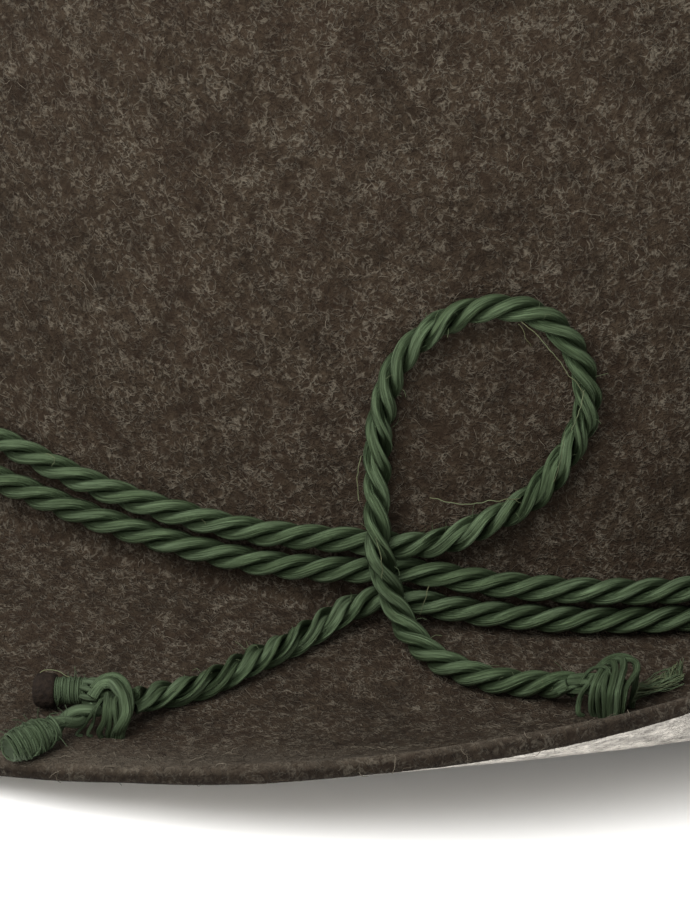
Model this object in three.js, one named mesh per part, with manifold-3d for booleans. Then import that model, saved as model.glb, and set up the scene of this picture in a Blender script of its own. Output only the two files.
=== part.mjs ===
// A blocked felt hat with a long twisted cord laid twice round the foot of its crown.
// Millimetres, +Z up, the hat's front towards -Y, the wearer's left towards +X.
// The origin is on the surface that the hat rests on, under the middle of the felt's box.

import * as THREE from 'three';
import { ParametricGeometry } from 'three/addons/geometries/ParametricGeometry.js';
import { mergeVertices } from 'three/addons/utils/BufferGeometryUtils.js';
import Module from 'manifold-3d';

const wasm = await Module();
wasm.setup();

// Head opening, measured inside the felt
const HEAD_WIDTH = 164;
const HEAD_LENGTH = 199;
const FELT = 2.4;

// Crown: a leaning wall, a round shoulder and a tip with one shallow dent
const WALL_HEIGHT = 88;
const WALL_LEAN = 8;
const SHOULDER_RADIUS = 20;
const SHOULDER_END = 80;
const TIP_RISE = 6;
const DENT_DEPTH = 11;
const DENT_WIDTH = 62;
const DENT_LENGTH = 116;

// Brim: dips at the front and rolls up at the back
const BRIM_WIDTH = 49;
const CURL_START = 0.25;
const FOOT_BEND = 1.6;
const FRONT_LIFT = 8;

// Cord
const CORD = 3.4;
const CLEAR = 0.35;
const END_GAP = 0.3;

// Cord ends. A knot's width is across the cord and its length along it.
const KNOT_WIDTH = 9.4;
const KNOT_LENGTH = 6;
const KNOT_HEIGHT = 6.4;
const KNOT_TURN = 3;
const KNOT_CORE = 0.84;
const KNOT_SLANT = 20;
const WHIPPING = 3.6;
const WHIPPING_LENGTH = 4;
const TIP = 4.6;
const TIP_LENGTH = 3.4;
const NECK = 2.6;
const FAT_WHIPPING = 4.2;
const LOWER_END_LENGTH = 9.4;
const FRAY = 4.2;
const FRAY_LENGTH = 5;
const FRAY_FLATNESS = 0.5;

// Facets
const FELT_SEGMENTS = 88;
const CORD_SIDES = 8;
const BAND_STEPS = 120;
const LOOP_STEPS = 44;
const TAIL_STEPS = 10;
const SMALL_SEGMENTS = 12;
const KNOT_RINGS = 8;

// The brim by the turn from the front, in degrees, alike on both sides of the hat.
// reach is a share of BRIM_WIDTH. fall is the slope next to the crown and lip the slope at the
// edge, both in degrees, upwards being positive.
const BRIM_SECTIONS = [
  { turn: 0, reach: 1.04, fall: -12, lip: -10 },
  { turn: 60, reach: 1.02, fall: -8, lip: -8 },
  { turn: 80, reach: 1.0, fall: -4, lip: -3.5 },
  { turn: 100, reach: 1.0, fall: -2, lip: 21 },
  { turn: 120, reach: 1.0, fall: 0, lip: 51 },
  { turn: 140, reach: 1.0, fall: 0, lip: 90 },
  { turn: 180, reach: 0.98, fall: 0, lip: 92 },
];

// Where the felt's section has its rings, from the middle of the tip out to the brim's edge.
const FELT_SECTION = [
  ...[0, 0.22, 0.42, 0.62, 0.82, 1].map((share) => ({ zone: 'tip', share })),
  ...[0.67, 0.33, 0].map((share) => ({ zone: 'shoulder', share })),
  ...[0.67, 0.33].map((share) => ({ zone: 'wall', share })),
  ...[0, 0.5, 1].map((share) => ({ zone: 'bend', share })),
  ...[0.25, 0.4, 0.55, 0.7, 0.85, 1].map((share) => ({ zone: 'brim', share })),
];

// The height of the cord on the crown, by the turn from the front, over its two turns.
// rise is in cord diameters up the wall from the foot of the crown.
const BAND_ROUTE = [
  { turn: 106.2, rise: 1.05 },
  { turn: 110, rise: 0.85 },
  { turn: 116, rise: 0.67 },
  { turn: 124, rise: 0.61 },
  { turn: 180, rise: 0.62 },
  { turn: 270, rise: 0.9 },
  { turn: 360, rise: 1.5 },
  { turn: 435, rise: 1.86 },
  { turn: 445, rise: 1.68 },
  { turn: 455, rise: 1.58 },
  { turn: 461, rise: 1.78 },
  { turn: 467, rise: 2.17 },
  { turn: 474, rise: 1.93 },
  { turn: 484, rise: 1.75 },
  { turn: 540, rise: 1.77 },
  { turn: 630, rise: 2.06 },
  { turn: 720, rise: 2.8 },
  { turn: 795, rise: 3.42 },
  { turn: 804, rise: 2.98 },
  { turn: 815, rise: 2.78 },
  { turn: 825, rise: 3.12 },
];

// Points that the loop and the rear tail pass through: turn from the front in degrees, out
// along the felt from the foot of the crown (up the wall positive, out on the brim negative)
// and lift off the felt.
const LOOP_ROUTE = [
  [105.3, 10.6, 2.05],
  [107.5, 10.9, 2.05],
  [110, 12.3, 2.05],
  [113, 15, 2.05],
  [115.5, 18, 2.05],
  [117.5, 22, 2.05],
  [119, 26, 2.05],
  [119.8, 31, 2.05],
  [119.5, 36, 2.05],
  [118, 40.5, 2.05],
  [116, 43, 2.05],
  [113.5, 43.6, 2.05],
  [111, 42.7, 2.05],
  [109, 40.5, 2.05],
  [107, 37.5, 2.05],
  [105.6, 33.5, 2.05],
  [105, 29, 2.05],
  [104.8, 24.5, 2.05],
  [104.7, 20.5, 2.05],
  [104.8, 17, 2.8],
  [105, 14.5, 4.4],
  [105.4, 11.2, 5.9],
  [105.9, 7.5, 5.9],
  [106.4, 5, 5.95],
  [107.1, -6.4, 3.9],
  [108, -8.4, 2.9],
  [109.5, -11.5, 2.25],
  [111.5, -14.2, 2.05],
  [113.5, -16.3, 2.05],
  [115.5, -17.2, 2.1],
  [117, -18.2, 2.5],
  [118.4, -19.6, 3],
];

// Points that the front tail passes through, in the same measures
const TAIL_ROUTE = [
  [106, 3.5, 2.1],
  [104.9, 3.2, 2.4],
  [103.7, -3, 2.9],
  [102.4, -5.6, 2.3],
  [100.8, -10.2, 2.05],
  [99.4, -15, 2.05],
  [98.1, -19.5, 2.05],
  [96.9, -24, 2.05],
  [95.7, -28, 2.05],
  [94.6, -31, 2.2],
  [93.9, -34.4, 3],
];

// Below this bend, in radians a millimetre, a brim's section counts as straight
const EVEN_SLOPE = 1e-6;
// How far out the brim's slope next to the crown is read
const NEXT_TO_WALL = 0.001;
// Vertices nearer than this are one
const MERGE = 0.001;

const degrees = THREE.MathUtils.degToRad;
const HALF_WIDTH = HEAD_WIDTH / 2 + FELT;
const HALF_LENGTH = HEAD_LENGTH / 2 + FELT;

// Smooth value of a column of a table at a turn, through its rows
function read(rows, turn, column) {
  let i = 1;
  while (i < rows.length - 3 && turn > rows[i + 1].turn) i += 1;
  const [before, from, to, after] = rows.slice(i - 1, i + 3);
  const span = to.turn - from.turn;
  const u = (turn - from.turn) / span;
  const leave = ((to[column] - before[column]) / (to.turn - before.turn)) * span;
  const arrive = ((after[column] - from[column]) / (after.turn - from.turn)) * span;
  const u2 = u * u;
  const u3 = u2 * u;
  return (2 * u3 - 3 * u2 + 1) * from[column] + (u3 - 2 * u2 + u) * leave
    + (3 * u2 - 2 * u3) * to[column] + (u3 - u2) * arrive;
}

// A table with its second and last but one rows mirrored past its ends
function mirrored(rows) {
  const last = rows[rows.length - 1];
  const second = rows[1];
  const lastButOne = rows[rows.length - 2];
  return [
    { ...second, turn: 2 * rows[0].turn - second.turn },
    ...rows,
    { ...lastButOne, turn: 2 * last.turn - lastButOne.turn },
  ];
}

const brimRows = mirrored(BRIM_SECTIONS);
const bandRows = mirrored(BAND_ROUTE);

function brimAt(turn) {
  const folded = Math.abs(THREE.MathUtils.euclideanModulo(turn + 180, 360) - 180);
  return {
    reach: read(brimRows, folded, 'reach') * BRIM_WIDTH,
    fall: degrees(read(brimRows, folded, 'fall')),
    lip: degrees(read(brimRows, folded, 'lip')),
  };
}

// Height of the outer corner between wall and brim
function footHeight(turn) {
  return FELT + FRONT_LIFT * (1 + Math.cos(degrees(turn))) / 2;
}

// The felt's outer face in section: out from the crown's foot, height, and the way it faces
function wallFace(turn, up) {
  const lean = degrees(WALL_LEAN);
  return {
    out: -Math.sin(lean) * up,
    z: footHeight(turn) + Math.cos(lean) * up,
    faceOut: Math.cos(lean),
    faceUp: Math.sin(lean),
  };
}

function brimFace(turn, along) {
  const { reach, fall, lip } = brimAt(turn);
  const straight = CURL_START * reach;
  const bend = (lip - fall) / (reach - straight);
  const curved = Math.max(0, along - straight);
  const slope = fall + bend * curved;
  let out = Math.cos(fall) * Math.min(along, straight);
  let z = footHeight(turn) + Math.sin(fall) * Math.min(along, straight);
  if (Math.abs(bend) < EVEN_SLOPE) {
    out += Math.cos(fall) * curved;
    z += Math.sin(fall) * curved;
  } else {
    out += (Math.sin(slope) - Math.sin(fall)) / bend;
    z += (Math.cos(fall) - Math.cos(slope)) / bend;
  }
  // The felt lies flat where it meets the surface that it rests on
  const underside = z - Math.cos(slope) * FELT;
  z += Math.max(0, -underside);
  return { out, z, faceOut: -Math.sin(slope), faceUp: Math.cos(slope) };
}

// A point on the oval round the head, moved out and up in the plane of its section
function atOval(turn, out, z) {
  const t = degrees(turn);
  const normal = new THREE.Vector2(Math.sin(t) / HALF_WIDTH, -Math.cos(t) / HALF_LENGTH);
  normal.normalize();
  return new THREE.Vector3(
    HALF_WIDTH * Math.sin(t) + normal.x * out,
    -HALF_LENGTH * Math.cos(t) + normal.y * out,
    z,
  );
}

// A point lifted off the felt. along is up the wall when positive and out on the brim when not.
function onFelt(turn, along, lift) {
  const face = along >= 0 ? wallFace(turn, along) : brimFace(turn, -along);
  return atOval(turn, face.out + face.faceOut * lift, face.z + face.faceUp * lift);
}

// The round between wall and brim, outer or inner side. share 0 is at the wall and 1 at the brim.
function bendPoint(turn, share, depth) {
  const wall = wallFace(turn, 0);
  const brim = brimFace(turn, NEXT_TO_WALL);
  const meet = 1 + wall.faceOut * brim.faceOut + wall.faceUp * brim.faceUp;
  const centreOut = FOOT_BEND * (wall.faceOut + brim.faceOut) / meet;
  const centreUp = FOOT_BEND * (wall.faceUp + brim.faceUp) / meet;
  const facing = new THREE.Vector2(
    THREE.MathUtils.lerp(wall.faceOut, brim.faceOut, share),
    THREE.MathUtils.lerp(wall.faceUp, brim.faceUp, share),
  ).normalize();
  const radius = FOOT_BEND + depth;
  return atOval(
    turn,
    centreOut - facing.x * radius,
    footHeight(turn) + centreUp - facing.y * radius,
  );
}

// The shoulder turns the wall over into the tip
function shoulderPoint(turn, share, depth) {
  const top = wallFace(turn, WALL_HEIGHT);
  const angle = degrees(THREE.MathUtils.lerp(WALL_LEAN, SHOULDER_END, share));
  const radius = SHOULDER_RADIUS - depth;
  return atOval(
    turn,
    top.out - top.faceOut * SHOULDER_RADIUS + Math.cos(angle) * radius,
    top.z - top.faceUp * SHOULDER_RADIUS + Math.sin(angle) * radius,
  );
}

// The tip is domed, with a dent that runs from front to back
function tipPoint(turn, share, depth) {
  const edge = shoulderPoint(turn, 1, depth);
  const middle = footHeight(90) + edge.z - footHeight(turn);
  const x = edge.x * share;
  const y = edge.y * share;
  const reach = (2 * x / DENT_WIDTH) ** 2 + (2 * y / DENT_LENGTH) ** 2;
  const dent = DENT_DEPTH * Math.max(0, 1 - reach) ** 2;
  const z = THREE.MathUtils.lerp(middle, edge.z, share) + TIP_RISE * (1 - share * share) - dent;
  return new THREE.Vector3(x, y, z);
}

// A ring's point on the felt, depth 0 on the outside and FELT on the inside
function feltPoint(turn, { zone, share }, depth) {
  if (zone === 'tip') return tipPoint(turn, share, depth);
  if (zone === 'shoulder') return shoulderPoint(turn, share, depth);
  if (zone === 'wall') return onFelt(turn, share * WALL_HEIGHT, -depth);
  if (zone === 'bend') return bendPoint(turn, share, depth);
  return onFelt(turn, -share * brimAt(turn).reach, -depth);
}

// Merged vertices without the slivers at the poles, so that the mesh is one closed body
function closedBody(geometry) {
  geometry.deleteAttribute('normal');
  geometry.deleteAttribute('uv');
  geometry.clearGroups();
  const merged = mergeVertices(geometry, MERGE);
  const kept = [];
  for (let i = 0; i < merged.index.count; i += 3) {
    const [a, b, c] = [0, 1, 2].map((k) => merged.index.getX(i + k));
    if (a !== b && b !== c && c !== a) kept.push(a, b, c);
  }
  merged.setIndex(kept);
  return merged;
}

// Outside from the middle of the tip to the brim's edge, then back along the inside
function feltHat() {
  const rings = FELT_SECTION.length;
  const surface = (u, v, target) => {
    const turn = 360 * ((1 - u) % 1);
    const ring = Math.round(v * (2 * rings - 1));
    const inside = ring >= rings;
    const station = FELT_SECTION[inside ? 2 * rings - 1 - ring : ring];
    target.copy(feltPoint(turn, station, inside ? FELT : 0));
  };
  return closedBody(new ParametricGeometry(surface, FELT_SEGMENTS, 2 * rings - 1));
}

// A cord's plain tube along a smooth curve through points
function tube(points, steps) {
  const corners = [];
  for (let i = 0; i < CORD_SIDES; i += 1) {
    const angle = (2 * Math.PI * (i + 0.5)) / CORD_SIDES;
    corners.push(new THREE.Vector2(Math.cos(angle), Math.sin(angle)).multiplyScalar(CORD / 2));
  }
  const path = new THREE.CatmullRomCurve3(points, false, 'centripetal');
  return closedBody(new THREE.ExtrudeGeometry(new THREE.Shape(corners), {
    steps,
    extrudePath: path,
    bevelEnabled: false,
  }));
}

function bandPath() {
  const first = BAND_ROUTE[0].turn;
  const last = BAND_ROUTE[BAND_ROUTE.length - 1].turn;
  const points = [];
  for (let i = 0; i <= BAND_STEPS; i += 1) {
    const turn = THREE.MathUtils.lerp(first, last, i / BAND_STEPS);
    points.push(onFelt(turn, read(bandRows, turn, 'rise') * CORD, CORD / 2 + CLEAR));
  }
  return points;
}

const route = (rows) => rows.map(([turn, along, lift]) => onFelt(turn, along, lift));

// A small round body along its own axis. profile holds shares of length and radii in mm.
function turned(profile, length) {
  const outline = [
    new THREE.Vector2(0, 0),
    ...profile.map(([share, radius]) => new THREE.Vector2(radius, share * length)),
    new THREE.Vector2(0, length),
  ];
  return closedBody(new THREE.LatheGeometry(outline, SMALL_SEGMENTS));
}

// Turns and moves a geometry that stands on +Y so that it points from one place to another
function laidAlong(geometry, from, to, up) {
  const y = to.clone().sub(from).normalize();
  const x = new THREE.Vector3().crossVectors(y, up).normalize();
  const z = new THREE.Vector3().crossVectors(x, y);
  geometry.applyMatrix4(new THREE.Matrix4().makeBasis(x, y, z).setPosition(from));
  return geometry;
}

function toSolid(geometry) {
  return new wasm.Manifold(new wasm.Mesh({
    numProp: 3,
    vertProperties: new Float32Array(geometry.attributes.position.array),
    triVerts: new Uint32Array(geometry.index.array),
  }));
}

function joined(geometries) {
  const whole = geometries.map(toSolid).reduce((all, next) => all.add(next));
  const { vertProperties, triVerts } = whole.getMesh();
  const geometry = new THREE.BufferGeometry();
  geometry.setAttribute('position', new THREE.BufferAttribute(vertProperties, 3));
  geometry.setIndex([...triVerts]);
  return geometry;
}

// An overhand knot's outer form: a body across the cord, with one turn of cord slung round it
function knot() {
  const core = new THREE.SphereGeometry(0.5, SMALL_SEGMENTS, KNOT_RINGS);
  core.scale(KNOT_WIDTH * KNOT_CORE, KNOT_LENGTH, KNOT_HEIGHT * KNOT_CORE);
  const ring = 0.5 - KNOT_TURN / 2 / KNOT_WIDTH;
  const sling = new THREE.TorusGeometry(ring, 0.5 - ring, KNOT_RINGS, SMALL_SEGMENTS);
  sling.rotateX(degrees(90));
  sling.scale(KNOT_WIDTH, KNOT_WIDTH, KNOT_HEIGHT);
  sling.rotateZ(degrees(-KNOT_SLANT));
  return joined([closedBody(core), closedBody(sling)]);
}

const FELT_FACE = { color: 0x3e352c, roughness: 0.95, metalness: 0 };
const CORD_GREEN = { color: 0x46533b, roughness: 0.55, metalness: 0 };
const WHIPPING_GREEN = { color: 0x4f6146, roughness: 0.7, metalness: 0 };
const TIP_BROWN = { color: 0x2b231c, roughness: 0.9, metalness: 0 };

const hat = new THREE.Group();

function add(name, geometry, finish) {
  const mesh = new THREE.Mesh(geometry, new THREE.MeshStandardMaterial(finish));
  mesh.name = name;
  hat.add(mesh);
  return mesh;
}

const felt = feltHat();
felt.computeBoundingBox();
hat.position.y = -(felt.boundingBox.min.y + felt.boundingBox.max.y) / 2;

add('felt_hat', felt, FELT_FACE);
add('cord_band', tube(bandPath(), BAND_STEPS), CORD_GREEN);
add('cord_loop', tube(route(LOOP_ROUTE), LOOP_STEPS), CORD_GREEN);
add('cord_tail', tube(route(TAIL_ROUTE), TAIL_STEPS), CORD_GREEN);

// A place on the felt: turn from the front, distance along the felt and lift off it
const place = (turn, along, lift) => ({ turn, along, lift });
const spot = ({ turn, along, lift }) => onFelt(turn, along, lift);

// Lays a piece that stands on +Y from one place towards another, the felt below it
function lay(name, geometry, from, towards, finish) {
  const above = spot({ ...from, lift: from.lift + 1 }).sub(spot(from));
  add(name, laidAlong(geometry, spot(from), spot(towards), above), finish);
}

const knotLift = KNOT_HEIGHT / 2 + CLEAR;
lay('knot_front', knot(), place(93, -37.1, knotLift), place(92.1, -39.2, knotLift), CORD_GREEN);
lay('knot_rear', knot(), place(120.5, -21.6, knotLift), place(122, -21, knotLift), CORD_GREEN);

// The upper end leaves the knot on the crown's side: thread wound round it, then a dark tip
const upperLift = TIP / 2 + CLEAR;
const upperFrom = place(90.9, -33.5, upperLift);
const upperTo = place(88, -35.2, upperLift);
const wound = turned([[0, WHIPPING / 2], [1, WHIPPING / 2]], WHIPPING_LENGTH);
lay('whipped_end_upper', wound, upperFrom, upperTo, WHIPPING_GREEN);
const tip = turned([[0, TIP / 2], [0.8, TIP / 2], [1, TIP * 0.36]], TIP_LENGTH);
tip.translate(0, WHIPPING_LENGTH + END_GAP, 0);
lay('tip_upper', tip, upperFrom, upperTo, TIP_BROWN);

// The lower end goes on from the knot: a thin neck, then thread wound into a fat end
const lowerProfile = [
  [0, NECK / 2],
  [0.36, NECK / 2],
  [0.5, FAT_WHIPPING * 0.42],
  [0.72, FAT_WHIPPING / 2],
  [0.92, FAT_WHIPPING * 0.46],
  [1, FAT_WHIPPING * 0.26],
];
const lowerLift = FAT_WHIPPING / 2 + CLEAR;
const lowerEnd = turned(lowerProfile, LOWER_END_LENGTH);
lay(
  'whipped_end_lower',
  lowerEnd,
  place(91.9, -39.9, lowerLift),
  place(89.9, -48.6, lowerLift),
  WHIPPING_GREEN,
);

// Past the rear knot the strands are frayed out flat
const frayProfile = [[0, FRAY * 0.2], [0.4, FRAY * 0.3], [0.85, FRAY / 2], [1, FRAY * 0.36]];
const fray = turned(frayProfile, FRAY_LENGTH);
fray.scale(1, 1, FRAY_FLATNESS);
const frayLift = FRAY * FRAY_FLATNESS / 2 + CLEAR;
lay('frayed_end', fray, place(122.7, -19.6, frayLift), place(125.4, -14.6, frayLift), CORD_GREEN);

export default hat;
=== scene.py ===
"""A blocked felt hat with a long twisted cord laid twice round the foot of its crown.

Metres, +Z up, the hat's front towards -Y and the wearer's left towards +X. The section of the
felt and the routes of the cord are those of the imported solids, so every piece lies on them.
"""

import math
import random
from functools import lru_cache, wraps

import bpy
from bpy.props import FloatProperty, FloatVectorProperty, IntProperty, PointerProperty
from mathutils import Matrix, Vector, noise


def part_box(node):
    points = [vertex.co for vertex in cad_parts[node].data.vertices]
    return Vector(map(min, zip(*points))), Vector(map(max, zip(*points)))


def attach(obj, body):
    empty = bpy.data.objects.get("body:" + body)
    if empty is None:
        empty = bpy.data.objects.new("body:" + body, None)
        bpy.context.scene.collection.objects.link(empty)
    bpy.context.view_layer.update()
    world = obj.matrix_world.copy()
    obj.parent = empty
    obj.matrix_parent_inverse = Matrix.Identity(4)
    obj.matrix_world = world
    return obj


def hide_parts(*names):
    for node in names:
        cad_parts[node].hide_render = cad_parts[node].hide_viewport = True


bl_info = {
    "name": "Felt hat with a twisted cord",
    "version": (1, 0, 0),
    "blender": (4, 5, 0),
    "location": "View3D > Sidebar > Hat",
    "description": "Builds the felt, the cord, its knots and its ends round the packed solids",
    "category": "Object",
}

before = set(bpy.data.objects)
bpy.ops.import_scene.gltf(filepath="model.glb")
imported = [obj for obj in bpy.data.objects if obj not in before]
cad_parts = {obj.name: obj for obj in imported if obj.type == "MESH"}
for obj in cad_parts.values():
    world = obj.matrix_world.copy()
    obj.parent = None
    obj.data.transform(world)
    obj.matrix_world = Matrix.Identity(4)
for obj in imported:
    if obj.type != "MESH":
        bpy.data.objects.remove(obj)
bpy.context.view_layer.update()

MM = 0.001
TAU = 2 * math.pi

# Head opening, measured inside the felt
HEAD_WIDTH = 164 * MM
HEAD_LENGTH = 199 * MM
FELT = 2.4 * MM
HALF_WIDTH = HEAD_WIDTH / 2 + FELT
HALF_LENGTH = HEAD_LENGTH / 2 + FELT

# Crown
WALL_HEIGHT = 88 * MM
WALL_LEAN = math.radians(8)
SHOULDER_RADIUS = 20 * MM
SHOULDER_END = math.radians(80)
TIP_RISE = 6 * MM
DENT_DEPTH = 11 * MM
DENT_WIDTH = 62 * MM
DENT_LENGTH = 116 * MM

# Brim
BRIM_WIDTH = 49 * MM
CURL_START = 0.25
FOOT_BEND = 1.6 * MM
FRONT_LIFT = 8 * MM
NEXT_TO_WALL = 0.001 * MM
EVEN_SLOPE = 1e-3
EDGE_ROUND = 1.0 * MM
# Share of the brim's width by its edge that is paler: partly pale nap, partly a painted highlight
# where the edge rolls over
PALE_EDGE_STRIP = 0.22

# Cord
CORD = 3.4 * MM
CLEAR = 0.35 * MM

# The brim by the turn from the front, alike on both sides: turn, reach as a share of
# BRIM_WIDTH, slope next to the crown, slope at the edge (degrees, upwards positive)
BRIM_SECTIONS = (
    (0, 1.04, -12, -10),
    (60, 1.02, -8, -8),
    (80, 1.0, -4, -3.5),
    (100, 1.0, -2, 21),
    (120, 1.0, 0, 51),
    (140, 1.0, 0, 90),
    (180, 0.98, 0, 92),
)
REACH, FALL, LIP = 1, 2, 3

# The cord on the crown over its two turns: turn, rise up the wall in cord diameters
BAND_ROUTE = (
    (106.2, 1.05), (110, 0.85), (116, 0.67), (124, 0.61), (180, 0.62), (270, 0.9),
    (360, 1.5), (435, 1.86), (445, 1.68), (455, 1.58), (461, 1.78), (467, 2.17),
    (474, 1.93), (484, 1.75), (540, 1.77), (630, 2.06), (720, 2.8), (795, 3.42),
    (804, 2.98), (815, 2.78), (825, 3.12),
)

# Points that the loop and the rear tail pass through: turn from the front in degrees, out
# along the felt from the foot of the crown and lift off the felt, both in millimetres.
# Up the wall is positive and out on the brim negative.
LOOP_ROUTE = (
    (105.3, 10.6, 2.05), (107.5, 10.9, 2.05), (110, 12.3, 2.05), (113, 15, 2.05),
    (115.5, 18, 2.05), (117.5, 22, 2.05), (119, 26, 2.05), (119.8, 31, 2.05),
    (119.5, 36, 2.05), (118, 40.5, 2.05), (116, 43, 2.05), (113.5, 43.6, 2.05),
    (111, 42.7, 2.05), (109, 40.5, 2.05), (107, 37.5, 2.05), (105.6, 33.5, 2.05),
    (105, 29, 2.05), (104.8, 24.5, 2.05), (104.7, 20.5, 2.05), (104.8, 17, 2.8),
    (105, 14.5, 4.4), (105.4, 11.2, 5.9), (105.9, 7.5, 5.9), (106.4, 5, 5.95),
    (107.1, -6.4, 3.9), (108, -8.4, 2.9), (109.5, -11.5, 2.25), (111.5, -14.2, 2.05),
    (113.5, -16.3, 2.05), (115.5, -17.2, 2.1), (117, -18.2, 2.5), (118.4, -19.6, 3),
)

# The front tail, in the same measures
TAIL_ROUTE = (
    (106, 3.5, 2.1), (104.9, 3.2, 2.4), (103.7, -3, 2.9), (102.4, -5.6, 2.3),
    (100.8, -10.2, 2.05), (99.4, -15, 2.05), (98.1, -19.5, 2.05), (96.9, -24, 2.05),
    (95.7, -28, 2.05), (94.6, -31, 2.2), (93.9, -34.4, 3),
)

# Where the cord's yarns have parted, in shares of the route's length
LOOSE_ON_LOOP = ((0.03, 0.12), (0.13, 0.3), (0.44, 0.5), (0.57, 0.66), (0.7, 0.76))
LOOSE_ON_TAIL = ((0.1, 0.98),)

# The strands of the knots: radius in millimetres, then points as in LOOP_ROUTE
FRONT_KNOT = (
    (0.80, (92.0, -36.6, 3.9), (92.3, -35.4, 5.2), (92.8, -35.0, 5.4), (93.6, -36.7, 5.2),
     (94.1, -38.2, 4.4), (94.3, -39.2, 3.2), (94.1, -39.6, 2.0), (93.9, -38.8, 0.9)),
    (0.44, (91.9, -36.2, 4.9), (92.2, -35.0, 5.8), (92.6, -34.4, 6.1), (93.0, -34.4, 6.2),
     (93.6, -34.9, 5.6), (94.05, -36.2, 4.7), (94.4, -38.0, 3.9), (94.4, -39.1, 2.7),
     (94.2, -39.2, 1.3)),
    (0.38, (93.0, -37.6, 5.0), (93.2, -38.9, 5.1), (93.35, -40.1, 4.2), (93.35, -40.4, 2.7),
     (93.0, -39.8, 0.9)),
    (0.35, (93.6, -37.8, 4.8), (93.65, -39.0, 4.8), (93.85, -40.0, 3.9), (93.95, -39.9, 2.2),
     (93.7, -39.4, 0.7)),
    (0.34, (93.2, -37.6, 4.6), (93.42, -39.0, 4.8), (93.6, -40.1, 3.8), (93.55, -39.9, 1.9),
     (93.4, -39.4, 0.6)),
    (0.22, (93.0, -38.2, 4.8), (92.9, -39.2, 4.8), (92.8, -40.0, 3.9), (92.55, -39.3, 1.8),
     (92.4, -40.0, 0.5)),
    (0.20, (92.9, -38.6, 4.4), (92.75, -39.6, 4.2), (92.5, -39.9, 3.0), (92.1, -39.4, 1.4),
     (91.8, -40.2, 0.4)),
)
REAR_KNOT = (
    (0.30, (117.5, -20.9, 2.4), (118.2, -20.8, 3.0), (118.9, -21.2, 3.6), (119.5, -22.4, 4.2)),
    (0.24, (118.8, -21.9, 3.8), (119.1, -21.1, 4.7), (119.5, -20.5, 5.3), (119.9, -21.1, 5.8),
     (120.5, -22.6, 5.9)),
    (0.34, (119.6, -22.2, 4.9), (119.3, -23.0, 4.2), (118.9, -22.7, 2.9), (118.7, -22.7, 1.4),
     (118.7, -23.2, 0.5)),
    (0.42, (120.2, -21.6, 5.6), (119.9, -22.9, 5.2), (119.6, -23.9, 4.2), (119.45, -24.0, 2.6),
     (119.5, -23.2, 0.7)),
    (0.34, (120.5, -21.8, 5.6), (120.25, -23.0, 5.2), (119.95, -24.3, 4.5), (119.8, -24.6, 3.0),
     (119.9, -24.0, 0.8)),
    (0.35, (120.6, -21.6, 5.7), (120.4, -23.0, 5.3), (120.2, -24.6, 4.5), (120.15, -25.1, 3.4),
     (120.2, -24.8, 1.2)),
    (0.46, (120.7, -19.2, 5.6), (120.9, -20.0, 6.0), (120.95, -22.0, 5.6), (120.7, -24.4, 4.7),
     (120.5, -25.4, 3.4), (120.5, -25.0, 1.4)),
    (0.50, (121.1, -18.8, 5.9), (121.5, -19.6, 6.2), (121.5, -21.0, 5.6), (121.2, -23.6, 4.8),
     (120.95, -25.2, 3.5), (120.9, -25.0, 1.4)),
    (0.38, (121.5, -19.1, 6.1), (121.9, -19.9, 6.3), (122.3, -20.6, 6.1), (122.35, -21.3, 5.3),
     (122.0, -22.2, 4.6), (121.5, -24.0, 3.6), (121.3, -24.6, 1.8)),
    (0.42, (119.9, -19.6, 5.0), (120.5, -18.9, 5.9), (121.2, -18.5, 6.3), (121.9, -18.9, 6.2),
     (122.3, -19.8, 5.6)),
)

# Body under a knot's strands, dark with painted shade: place, a place that it points to, then half
# its size along the cord, across and up (mm)
FRONT_BODY = ((93.35, -36.9, 3.0), (92.45, -39.0, 3.0), (1.1, 2.8, 1.35))
REAR_BODY = ((120.5, -21.6, 3.0), (122, -21, 3.0), (1.7, 2.7, 1.4))
BODY_WRAPS = 5
BODY_STRAND = 0.55 * MM
RING_STEPS = 40

# Yarns of the rear tail on their way into its knot: middle, then how far they stand apart
# along the felt and off it (mm)
YARNS_IN = (
    ((116.7, -18.0, 2.4), 0.3, 0.27),
    ((118.3, -19.5, 3.0), 0.8, 0.81),
    ((119.2, -20.8, 3.5), 1.2, 0.9),
    ((120.2, -21.4, 3.6), 1.3, 0.9),
)
YARNS = 5
YARN_RADIUS = 0.5 * MM

# Painted shade on strands, set by how open to the light each lies: on top of a knot, under it, and
# inside a wound end
ON_TOP, UNDER, CORE_LIGHT, FAT_CORE_LIGHT = 0.6, 0.1, 0.4, 0.3

# Steps along the lines of strands, and a turn of wound thread in points
FINE_STEP, STRAND_STEP, LONG_STEP = 0.35 * MM, 0.4 * MM, 0.5 * MM
POINTS_A_TURN = 14

# Fine strands of the frayed end: how many lie out along the brim and how many stand up
WISP_STRANDS, TUFT_STRANDS = 70, 60

# Short threads that stand off the cord, the upper whipping and the lower one
LOOP_FLUFF, TAIL_FLUFF, UPPER_FLUFF, LOWER_FLUFF = 90, 34, 16, 60

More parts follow.
